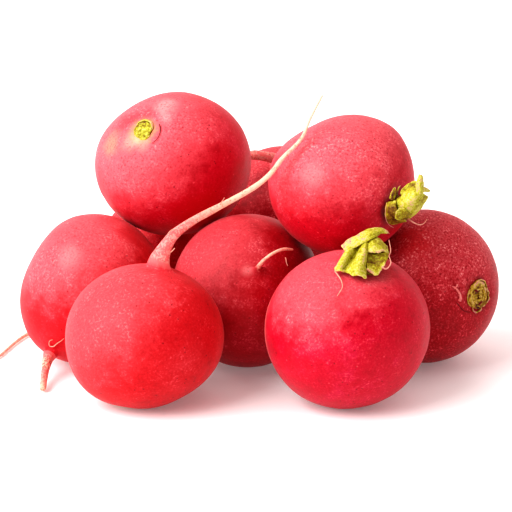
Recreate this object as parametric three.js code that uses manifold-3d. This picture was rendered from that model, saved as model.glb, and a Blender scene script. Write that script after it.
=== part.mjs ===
// A bunch of nine round red radishes with their tops trimmed, lying together in a heap:
// seven on the table and two resting on them.
// Units are millimetres. +X is to the right of the heap, +Y to its back, +Z up.
import * as THREE from 'three';
import { mergeVertices } from 'three/addons/utils/BufferGeometryUtils.js';
import Module from 'manifold-3d';

const wasm = await Module();
wasm.setup();

// Driving dimensions.
const HEAP_MIDDLE = [-3.06, 48.69]; // middle of the whole heap's outline, which the origin is under
const CLEARANCE = 0.3; // between two radishes, and between a bulb and its leaf stubs
const REST_SINK = 0.3; // how much of a bulb's underside is cut flat where it rests
const BULB_SIDES = 24;
const ROOT_SIDES = 8;
const ROOT_RINGS = 8; // at least, and one for each step of a longer path
const KNOB_SIDES = 10;
const KNOB_SINK = 1.6; // how far a knob reaches below the dimple before it is fitted to it
const KNOB_OUTLINE = [ // a knob's side, as shares of its radius and its height
  [1, 0.4], [0.85, 0.85], [0.5, 1], [0, 0.85],
];
const LEAF_THICKNESS = 0.8;
const BASE_SINK = 0.7; // how far a leaf base reaches below the dimple
const CLOSING_IN = 0.22; // of the way to the middle of the crown, at a leaf base's two ends
const SHEET_DIVISIONS = { across: 6, along: 6 };
const BASE_DIVISIONS = { across: 6, along: 2 };
const NET_REACH = 0.02; // the step over a sheet, to measure which way it faces
const MERGE_DISTANCE = 1e-4;
const BULGE_NARROWNESS = 8;

// Polar angles of a bulb's rings, in degrees from the middle of the crown, close together
// round the dimple that the leaves grow from.
const RING_ANGLES = [6, 12, 18, 26, 36, 47, 59, 72, 85, 98, 111, 124, 138, 152, 166];

// Each radish: the middle of its bulb (a radish on the table has no height of its own), its
// mean radius, the direction of its crown, and how its bulb departs from a ball. A swell
// lengthens the bulb both ways along a direction, a bulge draws it out on one side, such as
// towards its root, and the dimple is the depth of the crown and its half width in degrees.
// The knob is the cut middle of the leaves. The leaf bases round it are low walls, each given
// by how far away from the middle of the crown it stands, its sweep and its turn round it in
// degrees, its height and how far it leans out. The sheets are what is left of longer leaves,
// each a net of places in the heap. The root's path starts inside the bulb, with a radius for
// each of its points.
const HIDDEN_LEAF_BASES = [
  { away: 2.6, sweep: 150, turn: 20, height: 1.2, lean: 0.2 },
  { away: 2.5, sweep: 140, turn: 200, height: 1.3, lean: 0.1 },
  { away: 1.6, sweep: 190, turn: 110, height: 1.4, lean: 0 },
];

// A leaf folded over the shoulder: a strip along its top, a channelled sheet hanging to its
// frayed end, and beside it a stalk curled over like a hood, with its hollow and its frill.
const FOLDED_LEAF = [
  [
    [[20.4, -2.5, 41.6], [20.9, -4.0, 41.3], [21.5, -4.5, 40.8]],
    [[22.9, -1.5, 43.3], [23.8, -3.5, 42.9], [24.5, -4.5, 42.0]],
    [[25.6, -1.0, 44.7], [26.5, -3.0, 44.2], [27.0, -3.8, 43.3]],
    [[28.0, 0.0, 45.4], [28.6, -1.8, 44.8], [28.8, -2.5, 43.8]],
    [[30.3, 1.0, 45.1], [30.4, 0.0, 44.7], [30.4, -0.5, 44.2]],
    [[32.2, 1.5, 44.0], [32.3, 1.3, 43.7], [32.1, 1.1, 43.3]],
  ],
  [
    [
      [22.2, -3.0, 41.5], [23.1, -3.5, 42.2], [24.8, -2.5, 42.1],
      [25.8, -3.0, 42.8], [26.5, -3.5, 42.9], [27.5, -2.5, 42.4],
    ],
    [
      [20.8, -5.0, 40.1], [22.1, -6.0, 40.9], [24.1, -4.0, 40.3],
      [25.1, -5.7, 41.3], [26.0, -6.3, 41.5], [26.9, -4.5, 40.7],
    ],
    [
      [19.6, -6.2, 38.5], [20.8, -8.0, 39.3], [22.6, -6.0, 38.7],
      [23.9, -8.0, 39.5], [25.3, -8.8, 39.8], [26.5, -6.5, 39.1],
    ],
    [
      [18.8, -7.8, 37.5], [19.9, -9.4, 37.9], [21.2, -8.2, 37.4],
      [23.2, -9.8, 37.8], [24.8, -10.4, 38.0], [26.4, -8.3, 37.4],
    ],
    [
      [19.0, -8.6, 36.8], [20.3, -9.8, 37.2], [21.5, -9.4, 37.2],
      [23.4, -10.4, 36.1], [25.0, -10.8, 36.0], [26.4, -10.6, 35.6],
    ],
  ],
  [
    [[26.7, 1.0, 36.5], [27.8, 2.0, 36.2], [29.2, 2.5, 36.1], [30.7, 2.0, 36.2], [31.6, 1.0, 36.5]],
    [[26.5, 0.0, 39.9], [27.4, 1.0, 40.3], [28.9, 1.5, 40.4], [30.3, 1.0, 40.3], [31.5, 0.0, 39.9]],
    [[26.5, -1.2, 41.8], [27.3, -1.0, 42.9], [28.9, -0.8, 43.2], [30.3, -0.6, 42.2], [31.8, -1.0, 40.8]],
    [[26.5, -3.5, 41.7], [27.5, -4.0, 42.5], [28.9, -4.2, 42.7], [30.4, -3.6, 41.8], [31.9, -2.6, 40.5]],
    [[26.4, -5.2, 41.0], [27.7, -6.0, 40.8], [29.3, -6.0, 40.8], [30.7, -5.4, 41.1], [31.9, -3.6, 39.6]],
  ],
  [
    [[26.4, -4.4, 40.5], [27.8, -4.6, 40.3], [29.5, -4.6, 40.3], [30.8, -4.4, 40.6], [31.9, -3.0, 40.6]],
    [[26.3, -6.0, 39.4], [27.7, -5.2, 39.2], [29.2, -5.2, 39.2], [30.6, -5.0, 39.5], [31.9, -4.2, 39.6]],
    [[26.4, -7.4, 38.3], [27.7, -6.2, 37.9], [29.1, -6.2, 37.9], [30.5, -6.0, 38.4], [31.4, -5.4, 38.5]],
    [[26.6, -8.4, 37.6], [27.8, -7.0, 37.2], [29.0, -7.0, 37.2], [30.2, -6.6, 37.9], [30.8, -6.4, 38.0]],
  ],
  [
    [[26.3, -7.5, 38.9], [27.6, -6.6, 38.3], [29.0, -6.6, 38.1], [30.2, -6.2, 38.2], [31.0, -5.8, 38.8]],
    [[26.4, -8.2, 38.2], [27.5, -8.2, 37.4], [28.9, -8.1, 37.1], [30.0, -7.3, 37.5], [31.0, -6.5, 38.3]],
    [[26.4, -8.8, 37.9], [27.5, -9.0, 36.7], [28.8, -8.8, 36.0], [29.9, -7.8, 36.8], [30.8, -6.8, 37.9]],
  ],
];

// A ragged bundle: a body with a tall and a short prong, a flap, an olive base and its lobe.
const RAGGED_LEAF = [
  [
    [[33.5, 13.5, 47.2], [34.3, 13.0, 46.5], [35.3, 13.0, 45.5], [36.0, 13.5, 44.6], [36.9, 14.5, 43.5]],
    [[34.0, 11.0, 48.9], [34.9, 9.0, 48.5], [35.9, 8.2, 47.6], [37.1, 9.0, 46.4], [38.2, 11.0, 44.9]],
    [[35.5, 10.0, 50.9], [36.4, 7.8, 50.5], [37.5, 7.0, 49.6], [38.9, 8.0, 48.2], [40.0, 10.5, 46.7]],
    [[37.2, 10.0, 52.5], [38.0, 7.8, 52.0], [39.1, 7.0, 51.1], [40.2, 8.2, 49.9], [41.3, 10.5, 48.5]],
    [[38.6, 10.0, 53.5], [39.4, 8.5, 53.0], [40.2, 8.0, 52.1], [41.3, 9.0, 51.1], [42.3, 10.8, 50.2]],
  ],
  [
    [[39.2, 7.6, 51.6], [39.8, 7.0, 51.6], [40.7, 7.6, 51.9]],
    [[39.1, 7.6, 53.9], [39.8, 7.0, 54.1], [40.7, 7.8, 54.1]],
    [[39.4, 8.0, 55.4], [40.0, 7.4, 55.7], [40.6, 8.0, 55.5]],
    [[39.9, 8.6, 56.6], [40.2, 8.4, 56.8], [40.5, 8.6, 56.6]],
  ],
  [
    [[39.7, 8.0, 53.4], [39.7, 7.5, 52.6], [39.9, 8.0, 51.6]],
    [[40.9, 8.4, 53.3], [41.0, 8.0, 52.9], [41.1, 8.5, 52.2]],
    [[42.3, 9.4, 52.6], [42.4, 9.2, 52.2], [42.4, 9.4, 51.9]],
  ],
  [
    [[35.8, 10.5, 49.7], [36.7, 9.5, 50.1], [37.9, 9.5, 50.2], [39.2, 10.0, 50.5], [40.2, 10.5, 50.8]],
    [[35.4, 10.5, 50.7], [36.5, 10.5, 51.2], [37.7, 10.5, 51.6], [38.9, 10.5, 52.0], [40.2, 10.2, 52.3]],
    [[35.3, 11.0, 51.2], [36.4, 11.5, 52.0], [37.6, 11.5, 52.7], [38.9, 11.5, 53.1], [40.0, 10.6, 53.3]],
    [[35.7, 12.0, 51.7], [36.8, 12.3, 52.7], [37.7, 12.3, 53.4], [38.6, 12.3, 53.9], [39.8, 11.5, 54.1]],
  ],
  [
    [[32.0, 10.8, 48.9], [31.8, 10.4, 47.3], [31.9, 10.8, 45.1], [32.7, 12.0, 43.3], [34.2, 14.0, 42.4]],
    [[32.9, 10.0, 49.4], [32.9, 9.0, 47.9], [33.2, 9.0, 46.1], [34.2, 10.2, 44.5], [35.7, 12.5, 43.2]],
    [[33.9, 10.0, 49.7], [33.8, 8.2, 48.6], [34.4, 8.0, 47.0], [35.3, 9.0, 45.5], [36.9, 11.5, 43.7]],
  ],
  [
    [[35.9, 10.0, 43.9], [36.2, 8.6, 45.2], [37.1, 8.4, 46.0], [38.2, 9.0, 46.5]],
    [[34.6, 8.0, 45.1], [34.9, 7.6, 46.5], [35.8, 7.4, 47.4], [37.0, 7.4, 47.7]],
    [[33.8, 8.2, 45.6], [33.9, 7.4, 47.2], [34.8, 7.0, 48.4], [36.2, 7.0, 48.8]],
  ],
];

const RADISHES = {
  top_left: {
    middle: [-21.6, 49.7, 48.5],
    radius: 19.4,
    crown: [-0.4, -0.65, 0.65],
    swells: [{ along: [1, 0, 0.1], by: 0.085 }],
    bulges: [
      { towards: [0.4, 0.62, -0.66], by: 0.02 },
      { towards: [-0.64, 0.22, 0.73], by: -0.045 },
    ],
    dimple: { depth: 0.9, width: 13 },
    knob: { radius: 2.5, height: 0.5 },
    leafBases: [
      { away: 2.5, sweep: 170, turn: 150, height: 0.4, lean: 0.1 },
      { away: 2.4, sweep: 150, turn: 330, height: 0.5, lean: 0 },
      { away: 2.9, sweep: 200, turn: 50, height: 0.4, lean: 0.15 },
    ],
    sheets: [],
    rootPath: [
      [-14.6, 60.8, 36.8], [-13.0, 62.8, 35.8], [-11.2, 64.8, 35.2], [-9.0, 66.4, 34.8], [-7.0, 67.6, 34.2],
    ],
    rootRadii: [1.9, 1.3, 0.9, 0.7, 0.4],
  },
  top_right: {
    middle: [21.5, 25.8, 49.4],
    radius: 18.0,
    crown: [0.78, -0.58, -0.22],
    swells: [{ along: [1, 0, 0], by: 0.04 }],
    bulges: [
      { towards: [-0.7, 0.68, 0.2], by: 0.03 },
      { towards: [0, -0.62, -0.78], by: 0.06 },
      { towards: [0.67, 0.22, 0.71], by: 0.07 },
      { towards: [-0.5, 0.25, 0.83], by: -0.08 },
    ],
    dimple: { depth: 2.2, width: 15 },
    knob: { radius: 3.6, height: 3.0 },
    leafBases: [],
    sheets: RAGGED_LEAF,
    rootPath: [[9.6, 36.0, 51.6], [8.0, 38.8, 51.8], [7.4, 42.4, 51.4], [8.4, 46.4, 50.4]],
    rootRadii: [2.0, 1.1, 0.8, 0.5],
  },
  front_left: {
    middle: [-27.3, 1.0],
    radius: 18.25,
    crown: [-0.24, -0.05, -0.97],
    swells: [{ along: [1, 0, 0], by: 0.086 }, { along: [0, 1, 0], by: -0.05 }],
    bulges: [
      { towards: [-0.74, -0.19, -0.64], by: 0.045 },
      { towards: [0.57, -0.24, -0.78], by: -0.045 },
    ],
    dimple: { depth: 1.9, width: 13 },
    knob: { radius: 2.4, height: 0.9 },
    leafBases: [],
    sheets: [],
    rootPath: [
      [-24.2, 1.6, 33.6], [-23.6, 1.9, 36.0], [-22.8, 2.3, 38.2], [-21.7, 2.8, 40.3], [-20.2, 3.4, 42.4],
      [-18.1, 4.4, 44.0], [-14.7, 6.2, 45.8], [-9.8, 8.8, 47.8], [-5.1, 11.0, 49.8], [-0.1, 12.6, 52.4],
      [3.5, 13.8, 55.2], [6.5, 14.4, 59.1], [10.2, 15.2, 62.6], [11.7, 15.8, 64.6], [13.0, 17.0, 67.7],
      [14.3, 18.2, 70.1], [16.3, 19.6, 73.6],
    ],
    rootRadii: [
      3.4, 2.6, 2.0, 1.45, 1.2, 1.05, 0.88, 0.76, 0.68, 0.62, 0.6, 0.52, 0.42, 0.36, 0.3, 0.27, 0.25,
    ],
  },
  front_right: {
    middle: [22.4, 1.5],
    radius: 19.75,
    crown: [0.25, -0.25, 0.935],
    swells: [{ along: [1, 0, 0], by: 0.055 }, { along: [-0.63, 0.77, 0], by: -0.03 }],
    bulges: [{ towards: [-0.53, -0.25, -0.81], by: 0.02 }],
    dimple: { depth: 1.6, width: 16 },
    knob: { radius: 3.3, height: 3.4 },
    leafBases: [],
    sheets: FOLDED_LEAF,
    rootPath: [[17.6, 4.8, 4.2], [16.4, 6.0, 2.6], [14.8, 7.6, 1.7], [12.6, 9.6, 1.2]],
    rootRadii: [2.0, 1.4, 1.0, 0.6],
  },
  left: {
    middle: [-42.1, 34.6],
    radius: 19.0,
    crown: [0.1, 0.76, 0.64],
    swells: [{ along: [0.1, 0, 1], by: 0.035 }],
    bulges: [
      { towards: [-0.53, -0.54, -0.65], by: 0.06 },
      { towards: [-0.84, 0.16, 0.52], by: -0.078 },
      { towards: [-0.84, -0.16, -0.52], by: 0.05 },
    ],
    dimple: { depth: 1.1, width: 13 },
    knob: { radius: 2.8, height: 0.9 },
    leafBases: HIDDEN_LEAF_BASES,
    sheets: [],
    rootPath: [
      [-50.6, 27.0, 8.4], [-52.0, 24.4, 6.4], [-52.9, 21.0, 4.8], [-53.3, 17.2, 3.2],
      [-53.4, 13.0, 1.9], [-53.3, 8.6, 1.15],
    ],
    rootRadii: [3.4, 2.4, 1.4, 1.0, 0.9, 0.85],
  },
  middle: {
    middle: [-2.4, 31.6],
    radius: 19.5,
    crown: [-0.1, 0.85, -0.5],
    swells: [{ along: [0, 0, 1], by: 0.03 }],
    bulges: [{ towards: [0.11, -0.83, 0.55], by: 0.01 }, { towards: [0.62, -0.15, 0.77], by: 0.03 }],
    dimple: { depth: 1.1, width: 13 },
    knob: { radius: 2.8, height: 0.9 },
    leafBases: HIDDEN_LEAF_BASES,
    sheets: [],
    rootPath: [
      [0.3, 16.6, 29.6], [0.6, 14.4, 31.0], [2.0, 12.6, 33.4], [4.2, 12.4, 35.2], [6.7, 13.7, 35.9],
      [9.2, 15.8, 35.2],
    ],
    rootRadii: [1.2, 0.6, 0.45, 0.4, 0.38, 0.3],
  },
  right: {
    middle: [43.2, 35.0],
    radius: 19.7,
    crown: [0.68, -0.73, 0.09],
    swells: [{ along: [0, 0, 1], by: 0.02 }],
    bulges: [{ towards: [-0.6, 0.74, -0.3], by: 0.03 }],
    dimple: { depth: 1.3, width: 14 },
    knob: { radius: 3.5, height: 0.8 },
    leafBases: [
      { away: 4.0, sweep: 105, turn: 100, height: 1.1, lean: 0.35 },
      { away: 4.1, sweep: 90, turn: 20, height: 1.0, lean: 0.2 },
      { away: 4.1, sweep: 62, turn: 302, height: 0.9, lean: 0.3 },
      { away: 3.4, sweep: 130, turn: 125, height: 1.0, lean: 0.1 },
      { away: 3.5, sweep: 125, turn: 228, height: 0.5, lean: 0 },
      { away: 3.1, sweep: 110, turn: 348, height: 1.1, lean: 0.1 },
      { away: 2.2, sweep: 150, turn: 60, height: 1.2, lean: 0 },
      { away: 2.1, sweep: 150, turn: 205, height: 1.2, lean: 0 },
      { away: 1.2, sweep: 210, turn: 320, height: 1.2, lean: 0 },
    ],
    sheets: [],
    rootPath: [
      [32.6, 47.6, 15.0], [30.4, 50.6, 13.4], [28.4, 54.0, 11.6], [27.4, 58.4, 9.6], [27.6, 63.0, 7.4],
    ],
    rootRadii: [2.2, 1.3, 1.0, 0.8, 0.5],
  },
  back: {
    middle: [7.6, 95.2],
    radius: 20.2,
    crown: [0.07, 0.48, -0.87],
    swells: [{ along: [0, 0, 1], by: 0.04 }],
    bulges: [],
    dimple: { depth: 1.3, width: 13 },
    knob: { radius: 2.8, height: 0.7 },
    leafBases: HIDDEN_LEAF_BASES,
    sheets: [],
    rootPath: [
      [6.8, 87.2, 35.2], [6.6, 86.0, 37.8], [6.3, 84.5, 39.6], [5.2, 83.0, 41.1], [3.3, 81.5, 42.1],
      [0.8, 80.5, 42.8], [-1.4, 80.0, 43.0], [-4.4, 80.0, 42.4], [-7.7, 80.5, 40.9],
    ],
    rootRadii: [3.2, 2.4, 1.8, 1.5, 1.4, 1.3, 1.2, 0.9, 0.5],
  },
  back_left: {
    middle: [-24.0, 72.4],
    radius: 18.1,
    crown: [0.1, 0.76, 0.64],
    swells: [{ along: [1, 0.2, 0], by: 0.03 }],
    bulges: [{ towards: [-0.79, -0.1, -0.6], by: 0.03 }, { towards: [0.06, -0.6, 0.8], by: 0.07 }],
    dimple: { depth: 1.1, width: 13 },
    knob: { radius: 2.8, height: 1.0 },
    leafBases: HIDDEN_LEAF_BASES,
    sheets: [],
    rootPath: [
      [-37.2, 70.6, 8.6], [-39.8, 70.2, 6.4], [-43.6, 69.0, 3.8], [-48.6, 66.2, 1.9], [-54.0, 61.4, 1.1],
      [-58.6, 56.4, 0.8], [-62.0, 50.4, 0.7], [-64.4, 43.4, 0.65], [-66.4, 36.2, 0.6], [-68.6, 30.0, 0.6],
    ],
    rootRadii: [2.6, 1.6, 0.9, 0.65, 0.55, 0.5, 0.5, 0.45, 0.4, 0.3],
  },
};

const skin = new THREE.MeshStandardMaterial({ color: '#c8203a', roughness: 0.4, metalness: 0 });
const leafStub = new THREE.MeshStandardMaterial({ color: '#c9cf4a', roughness: 0.6, metalness: 0 });

function vector(list) {
  return new THREE.Vector3(...list);
}

function toSolid(geometry) {
  const bare = geometry.clone();
  bare.deleteAttribute('normal');
  bare.deleteAttribute('uv');
  const merged = mergeVertices(bare, MERGE_DISTANCE);
  const index = merged.index.array;
  const triangles = [];
  for (let i = 0; i < index.length; i += 3) {
    const [a, b, c] = [index[i], index[i + 1], index[i + 2]];
    if (a !== b && b !== c && c !== a) {
      triangles.push(a, b, c);
    }
  }
  return new wasm.Manifold(new wasm.Mesh({
    numProp: 3,
    vertProperties: new Float32Array(merged.attributes.position.array),
    triVerts: new Uint32Array(triangles),
  }));
}

function toGeometry(solid) {
  const { vertProperties, triVerts } = solid.getMesh();
  const geometry = new THREE.BufferGeometry();
  geometry.setAttribute('position', new THREE.BufferAttribute(new Float32Array(vertProperties), 3));
  geometry.setIndex(new THREE.BufferAttribute(new Uint32Array(triVerts), 1));
  geometry.computeVertexNormals();
  return geometry;
}

// How far the bulb's surface is from its middle in a direction, before its dimple.
function reach(radish, direction) {
  let factor = 1;
  for (const swell of radish.swells) {
    const along = direction.dot(vector(swell.along).normalize());
    factor += swell.by * (along * along - 1 / 3);
  }
  for (const bulge of radish.bulges) {
    const towards = Math.max(0, direction.dot(vector(bulge.towards).normalize()));
    factor += bulge.by * towards ** BULGE_NARROWNESS;
  }
  return radish.radius * factor;
}

// The bulb round its own middle: a lathed ball whose poles are the crown and its opposite,
// drawn in at the dimple and out to the radish's own form.
function bulb(radish, grow = 0) {
  const { depth, width } = radish.dimple;
  const outline = [new THREE.Vector2(0, 1)];
  for (const angle of RING_ANGLES) {
    const turn = THREE.MathUtils.degToRad(angle);
    outline.push(new THREE.Vector2(Math.sin(turn), Math.cos(turn)));
  }
  outline.push(new THREE.Vector2(0, -1));
  outline.reverse();
  const ball = new THREE.LatheGeometry(outline, BULB_SIDES);
  const crown = vector(radish.crown).normalize();
  const up = new THREE.Vector3(0, 1, 0);
  ball.applyQuaternion(new THREE.Quaternion().setFromUnitVectors(up, crown));
  const spots = ball.attributes.position;
  const direction = new THREE.Vector3();
  for (let i = 0; i < spots.count; i += 1) {
    direction.fromBufferAttribute(spots, i).normalize();
    const angle = THREE.MathUtils.radToDeg(direction.angleTo(crown));
    const hollow = depth * Math.exp(-((angle / width) ** 2));
    direction.multiplyScalar(reach(radish, direction) - hollow + grow);
    spots.setXYZ(i, direction.x, direction.y, direction.z);
  }
  return ball;
}

// A round root that tapers along its path, closed at both ends.
function taperedRoot(path, radii) {
  const curve = new THREE.CatmullRomCurve3(path.map(vector), false, 'centripetal');
  const rings = Math.max(path.length - 1, ROOT_RINGS);
  const outline = [new THREE.Vector2(0, 0)];
  for (let ring = 0; ring <= rings; ring += 1) {
    const place = (ring / rings) * (radii.length - 1);
    const before = Math.min(Math.floor(place), radii.length - 2);
    const radius = THREE.MathUtils.lerp(radii[before], radii[before + 1], place - before);
    outline.push(new THREE.Vector2(radius, ring / rings));
  }
  outline.push(new THREE.Vector2(0, 1));
  const root = new THREE.LatheGeometry(outline, ROOT_SIDES);
  const spots = root.attributes.position;
  const tangent = new THREE.Vector3();
  const across = new THREE.Vector3();
  const upwards = new THREE.Vector3();
  for (let i = 0; i < spots.count; i += 1) {
    const along = spots.getY(i);
    const centre = curve.getPoint(along);
    curve.getTangent(along, tangent);
    across.set(tangent.y, -tangent.x, 0).normalize();
    upwards.crossVectors(across, tangent);
    centre.addScaledVector(across, spots.getX(i));
    centre.addScaledVector(upwards, spots.getZ(i));
    spots.setXYZ(i, centre.x, centre.y, centre.z);
  }
  return root;
}

function lineThrough(places) {
  return new THREE.CatmullRomCurve3(places, false, 'centripetal');
}

// A sheet of leaf: a flat bar drawn smoothly through a net of places, row by row.
function sheet(net, { across, along }) {
  const rows = net.map((row) => lineThrough(row));
  const placeAt = (side, way) => lineThrough(rows.map((row) => row.getPoint(side))).getPoint(way);
  const bar = new THREE.BoxGeometry(1, 1, LEAF_THICKNESS, across, along, 1);
  const spots = bar.attributes.position;
  const share = (place) => THREE.MathUtils.clamp(place, 0, 1);
  for (let i = 0; i < spots.count; i += 1) {
    const side = spots.getX(i) + 0.5;
    const way = spots.getY(i) + 0.5;
    const [left, right] = [share(side - NET_REACH), share(side + NET_REACH)];
    const [back, ahead] = [share(way - NET_REACH), share(way + NET_REACH)];
    const sideways = placeAt(right, way).sub(placeAt(left, way));
    const onwards = placeAt(side, ahead).sub(placeAt(side, back));
    const through = sideways.cross(onwards).normalize();
    const spot = placeAt(side, way).addScaledVector(through, spots.getZ(i));
    spots.setXYZ(i, spot.x, spot.y, spot.z);
  }
  return bar;
}

// The cut base of one leaf, a low wall curved round the crown, which here points along +Z.
function leafBase({ away, sweep, turn, height, lean }) {
  const levels = [[-BASE_SINK, 0], [0.5 * height, 0.3 * lean], [height, lean]];
  const net = levels.map(([rise, out]) => [-1, -0.5, 0, 0.5, 1].map((step) => {
    const angle = THREE.MathUtils.degToRad(turn + (sweep / 2) * step);
    const reached = (away + out) * (1 - CLOSING_IN * step * step);
    return new THREE.Vector3(reached * Math.cos(angle), reached * Math.sin(angle), rise);
  }));
  return sheet(net, BASE_DIVISIONS);
}

// The cut middle of the leaves, standing along +Z on the middle of the dimple.
function knob({ radius, height }) {
  const outline = [new THREE.Vector2(0, -KNOB_SINK), new THREE.Vector2(radius, -KNOB_SINK)];
  for (const [out, up] of KNOB_OUTLINE) {
    outline.push(new THREE.Vector2(out * radius, up * height));
  }
  return new THREE.LatheGeometry(outline, KNOB_SIDES).rotateX(Math.PI / 2);
}

// A cut can leave a loose scrap beside the piece itself.
function largest(solid) {
  return solid.decompose().reduce((kept, piece) => (piece.volume() > kept.volume() ? piece : kept));
}

// All that is left of a radish's leaves, round the middle of its bulb, a clearance off it.
function leafStubs(radish, middle) {
  const crown = vector(radish.crown).normalize();
  const foot = crown.clone().multiplyScalar(reach(radish, crown) - radish.dimple.depth);
  const turn = new THREE.Quaternion().setFromUnitVectors(new THREE.Vector3(0, 0, 1), crown);
  const upright = [knob(radish.knob), ...radish.leafBases.map(leafBase)];
  const pieces = upright.map((piece) => piece.applyQuaternion(turn).translate(...foot));
  for (const net of radish.sheets) {
    const places = net.map((row) => row.map((place) => vector(place).sub(middle)));
    pieces.push(sheet(places, SHEET_DIVISIONS));
  }
  const joined = pieces.map(toSolid).reduce((whole, solid) => whole.add(solid));
  return largest(joined.subtract(toSolid(bulb(radish, CLEARANCE))));
}

function standingHeight(radish) {
  const ball = bulb(radish);
  ball.computeBoundingBox();
  return -ball.boundingBox.min.z - REST_SINK;
}

function belowTable() {
  const size = 400;
  return new THREE.BoxGeometry(size, size, size).translate(0, 0, -size / 2);
}

function makeRadish(name, radish) {
  const [x, y, height] = radish.middle;
  const middle = new THREE.Vector3(x, y, height ?? standingHeight(radish));
  const toHeap = bulb(radish).translate(middle.x, middle.y, middle.z);
  const whole = toSolid(toHeap)
    .add(toSolid(taperedRoot(radish.rootPath, radish.rootRadii)))
    .subtract(toSolid(belowTable()));
  const body = new THREE.Mesh(toGeometry(whole).translate(-middle.x, -middle.y, -middle.z), skin);
  body.name = `radish_${name}`;
  const stubs = new THREE.Mesh(toGeometry(leafStubs(radish, middle)), leafStub);
  stubs.name = `leaf_stubs_${name}`;
  const group = new THREE.Group();
  group.position.copy(middle);
  group.add(body, stubs);
  return group;
}

const heap = new THREE.Group();
heap.position.set(-HEAP_MIDDLE[0], -HEAP_MIDDLE[1], 0);
for (const [name, radish] of Object.entries(RADISHES)) {
  heap.add(makeRadish(name, radish));
}

export default heap;
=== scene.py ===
# %% [markdown]
# # A heap of radishes
# Nine round red radishes lie in a heap: seven on the table and two resting on them. Their
# leaves are cut off, and only short yellow-green stubs are left. The solids of the frame
# already give each radish its place, its size and its root. Here each one gets what a solid
# can't hold: a smooth skin with a soft flare into its root, leaf stubs with torn edges,
# hairs thinner than a thread, and the speckled, satin red of the real skin.
#
# The frame is loaded first. Nothing in it is moved: every new piece is laid over its node.

# %% Open the frame
import math

import bpy
from mathutils import Matrix, Vector, noise
from mathutils.kdtree import KDTree


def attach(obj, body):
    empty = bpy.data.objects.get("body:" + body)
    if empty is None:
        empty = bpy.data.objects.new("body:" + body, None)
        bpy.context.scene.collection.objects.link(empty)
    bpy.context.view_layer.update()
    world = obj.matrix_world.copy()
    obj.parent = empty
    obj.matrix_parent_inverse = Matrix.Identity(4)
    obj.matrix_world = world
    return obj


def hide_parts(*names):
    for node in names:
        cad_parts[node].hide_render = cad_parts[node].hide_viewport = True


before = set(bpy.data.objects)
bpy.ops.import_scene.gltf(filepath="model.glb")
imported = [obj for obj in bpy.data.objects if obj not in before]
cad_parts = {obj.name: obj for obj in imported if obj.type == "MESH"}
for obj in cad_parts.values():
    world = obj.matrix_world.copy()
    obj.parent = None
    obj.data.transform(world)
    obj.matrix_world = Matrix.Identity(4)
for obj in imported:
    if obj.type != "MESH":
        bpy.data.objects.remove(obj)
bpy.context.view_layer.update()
print("nodes in the frame:", len(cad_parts))

# %% [markdown]
# ## The radishes
# A radish is nearly a ball. It is easiest to say how it departs from one: a swell lengthens
# it both ways along a direction, a bulge draws it out on one side, and the dimple is where
# its leaves grew. All places are in millimetres in the heap, with the height from the
# table, and a radish that stands on the table has no height of its own. The root is a path
# with a radius at each point. The tint says how its red departs from its neighbours':
# below 0 towards orange, above 0 towards purple. The darkening dims the whole skin: a little
# on the front right and upper right ones, whose red is darker, and more on the middle, right
# and back ones, where it is painted shade, since they lie in their neighbours' shadow. The
# painted highlight is a paler pink laid on the side that faces the light: its way, how much,
# and how near to that side it begins.

# %% Where each radish lies and how it is shaped
MM = 0.001
HEAP_MIDDLE = Vector((-3.06, 48.69, 0.0))

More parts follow.
